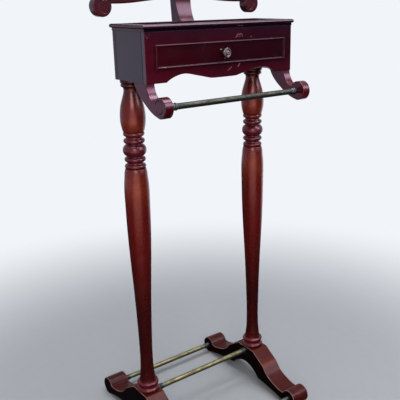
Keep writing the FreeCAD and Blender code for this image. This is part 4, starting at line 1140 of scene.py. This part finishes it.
@dataclass
class Brackets(SubAssembly):
    """The scrolled arms that hold the trouser bar."""

    def finishes(self) -> Finishes:
        """Lacquers both arms.

        Returns:
            A finish for each piece.
        """
        # The darker side colour is painted shade on the arms' sides.
        wood = Lacquer(
            "bracket_lacquer", Grain.DEEP, heart=(0.122, 0.003, 0.008),
            painted_side_tone=(0.062, 0.0016, 0.003), rubbed_and_lit=0.10, specular=0.50, sheen=(1.0, 0.66, 0.90),
        ).make()
        return {"left_bar_bracket": wood, "right_bar_bracket": wood}


@dataclass
class Hanger(SubAssembly):
    """The upright and the yoke that a jacket hangs on."""

    def finishes(self) -> Finishes:
        """Lacquers both pieces along their own grain.

        Returns:
            A finish for each piece.
        """
        # The darker side colour is painted shade on the sides of both pieces.
        tones = {"dark": (0.038, 0.001, 0.004), "heart": (0.100, 0.004, 0.009),
                 "painted_side_tone": (0.035, 0.006, 0.012)}
        yoke = Lacquer("yoke_lacquer", Grain.ACROSS, specular=0.4, rubbed_and_lit=0.10, **tones).make()
        upright = Lacquer("upright_lacquer", Grain.UPRIGHT, specular=0.42,
                          sheen=(1.0, 0.74, 0.92), **tones).make()
        return {"hanger_yoke": yoke, "hanger_upright": upright}


# ---- studio ----

@dataclass(frozen=True)
class Softbox:
    """A large soft lamp that faces the stand."""

    name: str
    place: Triple
    size: float
    watts: float
    tint: Colour = (1.0, 1.0, 1.0)
    only_gleams: bool = False

    def hang(self, aim: Vector) -> None:
        """Hangs the lamp.

        Args:
            aim: the point that it faces.
        """
        lamp = bpy.data.lights.new(self.name, "AREA")
        lamp.shape = "SQUARE"
        lamp.size = self.size
        lamp.energy = self.watts
        lamp.color = self.tint
        holder = bpy.data.objects.new(self.name, lamp)
        holder.location = self.place
        holder.visible_diffuse = not self.only_gleams
        holder.visible_camera = False
        holder.rotation_euler = (aim - holder.location).to_track_quat("-Z", "Y").to_euler()
        bpy.context.scene.collection.objects.link(holder)


@dataclass(frozen=True)
class Viewpoint:
    """Where the camera stands and how it looks.  Its angles are in degrees."""

    place: Triple = (-0.7969, -1.1327, 0.9643)
    heading: float = 37.46
    tilt: float = 17.73
    roll: float = -0.8
    lens: float = 56.95
    sensor: float = 36.0
    shift: Span = (-0.0589, 0.0014)
    clip: Span = (0.05, 200.0)

    def set_up(self) -> None:
        """Makes the camera and puts it to use."""
        data = bpy.data.cameras.new("camera")
        data.sensor_width = self.sensor
        data.lens = self.lens
        data.shift_x, data.shift_y = self.shift
        data.clip_start, data.clip_end = self.clip
        camera = bpy.data.objects.new("camera", data)
        turn = Matrix.Rotation(math.radians(-self.heading), 4, "Z")
        tip = Matrix.Rotation(math.radians(90.0 - self.tilt), 4, "X")
        lean = Matrix.Rotation(math.radians(self.roll), 4, "Z")
        camera.matrix_world = Matrix.Translation(self.place) @ turn @ tip @ lean
        bpy.context.scene.collection.objects.link(camera)
        bpy.context.scene.camera = camera


@dataclass(frozen=True)
class Reflection:
    """A stretch of the surroundings, on one side of the stand, that its gleams show.

    Attributes:
        tone: its colour.
        toward: its direction, across and deep.
        reach: how far from the stand it starts and is full.
        spread: where it starts and is full in its direction, as a cosine, or as a
            distance where by_angle is off.
    """

    tone: Colour
    toward: Span
    reach: Span
    spread: Span
    by_angle: bool = True

    def mask(self, recipe: Recipe) -> Field:
        """Where it lies.

        Args:
            recipe: the floor's material.

        Returns:
            0 away from it, rising to 1 within it.
        """
        x, y, _ = recipe.axes
        away = (x ** 2.0 + y ** 2.0) ** 0.5
        ahead = x * self.toward[0] + y * self.toward[1]
        if self.by_angle:
            ahead = ahead / away
        return away.rising(*self.reach) * ahead.rising(*self.spread)


@dataclass
class Studio:
    """The pale floor, the lamps and the air around the stand."""

    floor_reach: float = 40.0
    floor_colour: Colour = (0.45, 0.48, 0.495)
    floor_roughness: float = 0.85
    speckle: Mottle = Mottle(40.0)
    speckle_shade: float = 0.94
    backdrop: Colour = (0.88, 0.91, 0.95)
    backdrop_from: Span = (0.5, 1.4)
    shade: Colour = (0.03, 0.03, 0.035)
    reflections: tuple[Reflection, ...] = (
        Reflection((2.6, 2.0, 1.7), (-0.58, -0.81), (1.2, 1.9), (0.70, 0.95)),
        Reflection((1.5, 1.45, 1.7), (0.95, 0.30), (0.9, 1.8), (0.78, 0.95)),
        Reflection((0.60, 0.61, 0.78), (-0.61, 0.79), (2.35, 2.60), (-0.4, 0.8), by_angle=False),
    )
    air: Colour = (0.84, 0.88, 0.95)
    air_strength: float = 0.22
    mirror_strength: float = 0.62
    aim: Triple = (0.0, 0.0, 0.6)
    lamps: tuple[Softbox, ...] = (
        Softbox("top", (0.2, -0.2, 3.1), 2.4, 72.0, (0.95, 0.94, 1.0)),
        Softbox("sky", (1.8, -2.0, 2.35), 1.5, 52.0, (0.92, 0.88, 1.0), only_gleams=True),
        Softbox("gleam", (0.6, -0.6, 3.0), 1.4, 44.0, (1.0, 0.92, 0.98), only_gleams=True),
        Softbox("key", (-1.7, -2.6, 2.0), 1.4, 40.0, (1.0, 0.94, 0.88)),
    )

    def set_up(self) -> None:
        """Builds everything around the stand."""
        self._lay_floor()
        self._fill_air()
        for lamp in self.lamps:
            lamp.hang(Vector(self.aim))
        bpy.context.scene.view_settings.view_transform = "Standard"

    def _lay_floor(self) -> None:
        """Lays a plain pale floor that passes into the backdrop away from the stand."""
        mesh = bmesh.new()
        bmesh.ops.create_grid(mesh, x_segments=1, y_segments=1, size=self.floor_reach)
        data = bpy.data.meshes.new("floor")
        mesh.to_mesh(data)
        mesh.free()
        data.materials.append(self._floor_finish())
        floor = bpy.data.objects.new("floor", data)
        bpy.context.scene.collection.objects.link(floor)

    def _floor_finish(self) -> bpy.types.Material:
        """Mixes the floor, the backdrop, and what the gleams show of the surroundings.

        Returns:
            The floor's material.
        """
        recipe = Recipe(bpy.data.materials.new("pale_floor"))
        shaded = tuple(self.speckle_shade * part for part in self.floor_colour)
        tone = recipe.mix(self.floor_colour, shaded, recipe.noise(recipe.place, self.speckle))
        inputs = {"Base Color": tone, "Roughness": self.floor_roughness}
        laid = recipe.add("BsdfPrincipled", inputs=inputs)
        mirrored = self.shade
        for reflection in self.reflections:
            mirrored = recipe.mix(mirrored, reflection.tone, reflection.mask(recipe))
        camera = recipe.add("LightPath", output="Is Camera Ray")
        glossy = recipe.add("LightPath", output="Is Glossy Ray")
        colour = recipe.mix(mirrored, self.backdrop, camera)
        glow = recipe.add("Emission", inputs={"Color": colour, "Strength": 1.0})
        x, y, _ = recipe.axes
        far = ((x ** 2.0 + y ** 2.0) ** 0.5).rising(*self.backdrop_from)
        seen = glossy.higher(camera * far)
        recipe.close(recipe.add("MixShader", inputs={0: seen, 1: laid, 2: glow}))
        return recipe.owner

    def _fill_air(self) -> None:
        """Fills the surroundings with plain soft light."""
        world = bpy.data.worlds.new("air")
        bpy.context.scene.world = world
        recipe = Recipe(world)
        inputs = {"Color": (*self.air, 1.0), "Strength": self.air_strength}
        shader = recipe.add("Background", inputs=inputs)
        for ray, strength in (("Is Glossy Ray", self.mirror_strength), ("Is Camera Ray", 1.0)):
            inputs = {"Color": (*self.backdrop, 1.0), "Strength": strength}
            seen = recipe.add("Background", inputs=inputs)
            path = recipe.add("LightPath", output=ray)
            shader = recipe.add("MixShader", inputs={0: path, 1: shader, 2: seen})
        recipe.close(shader, "OutputWorld")


def main() -> None:
    """Builds the stand part by part, reports each piece, and sets up the studio."""
    logging.basicConfig(level=logging.INFO, format="%(name)s: %(message)s")
    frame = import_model()
    for kind in (Feet, Posts, Rails, Case, Drawer, Brackets, Hanger):
        part = kind(frame)
        for piece, material in (part.dress() | part.build()).items():
            LOG.info("%s: %s in %s", kind.__name__, piece, material.name)
    Viewpoint().set_up()
    Studio().set_up()


if __name__ == "__main__":
    main()
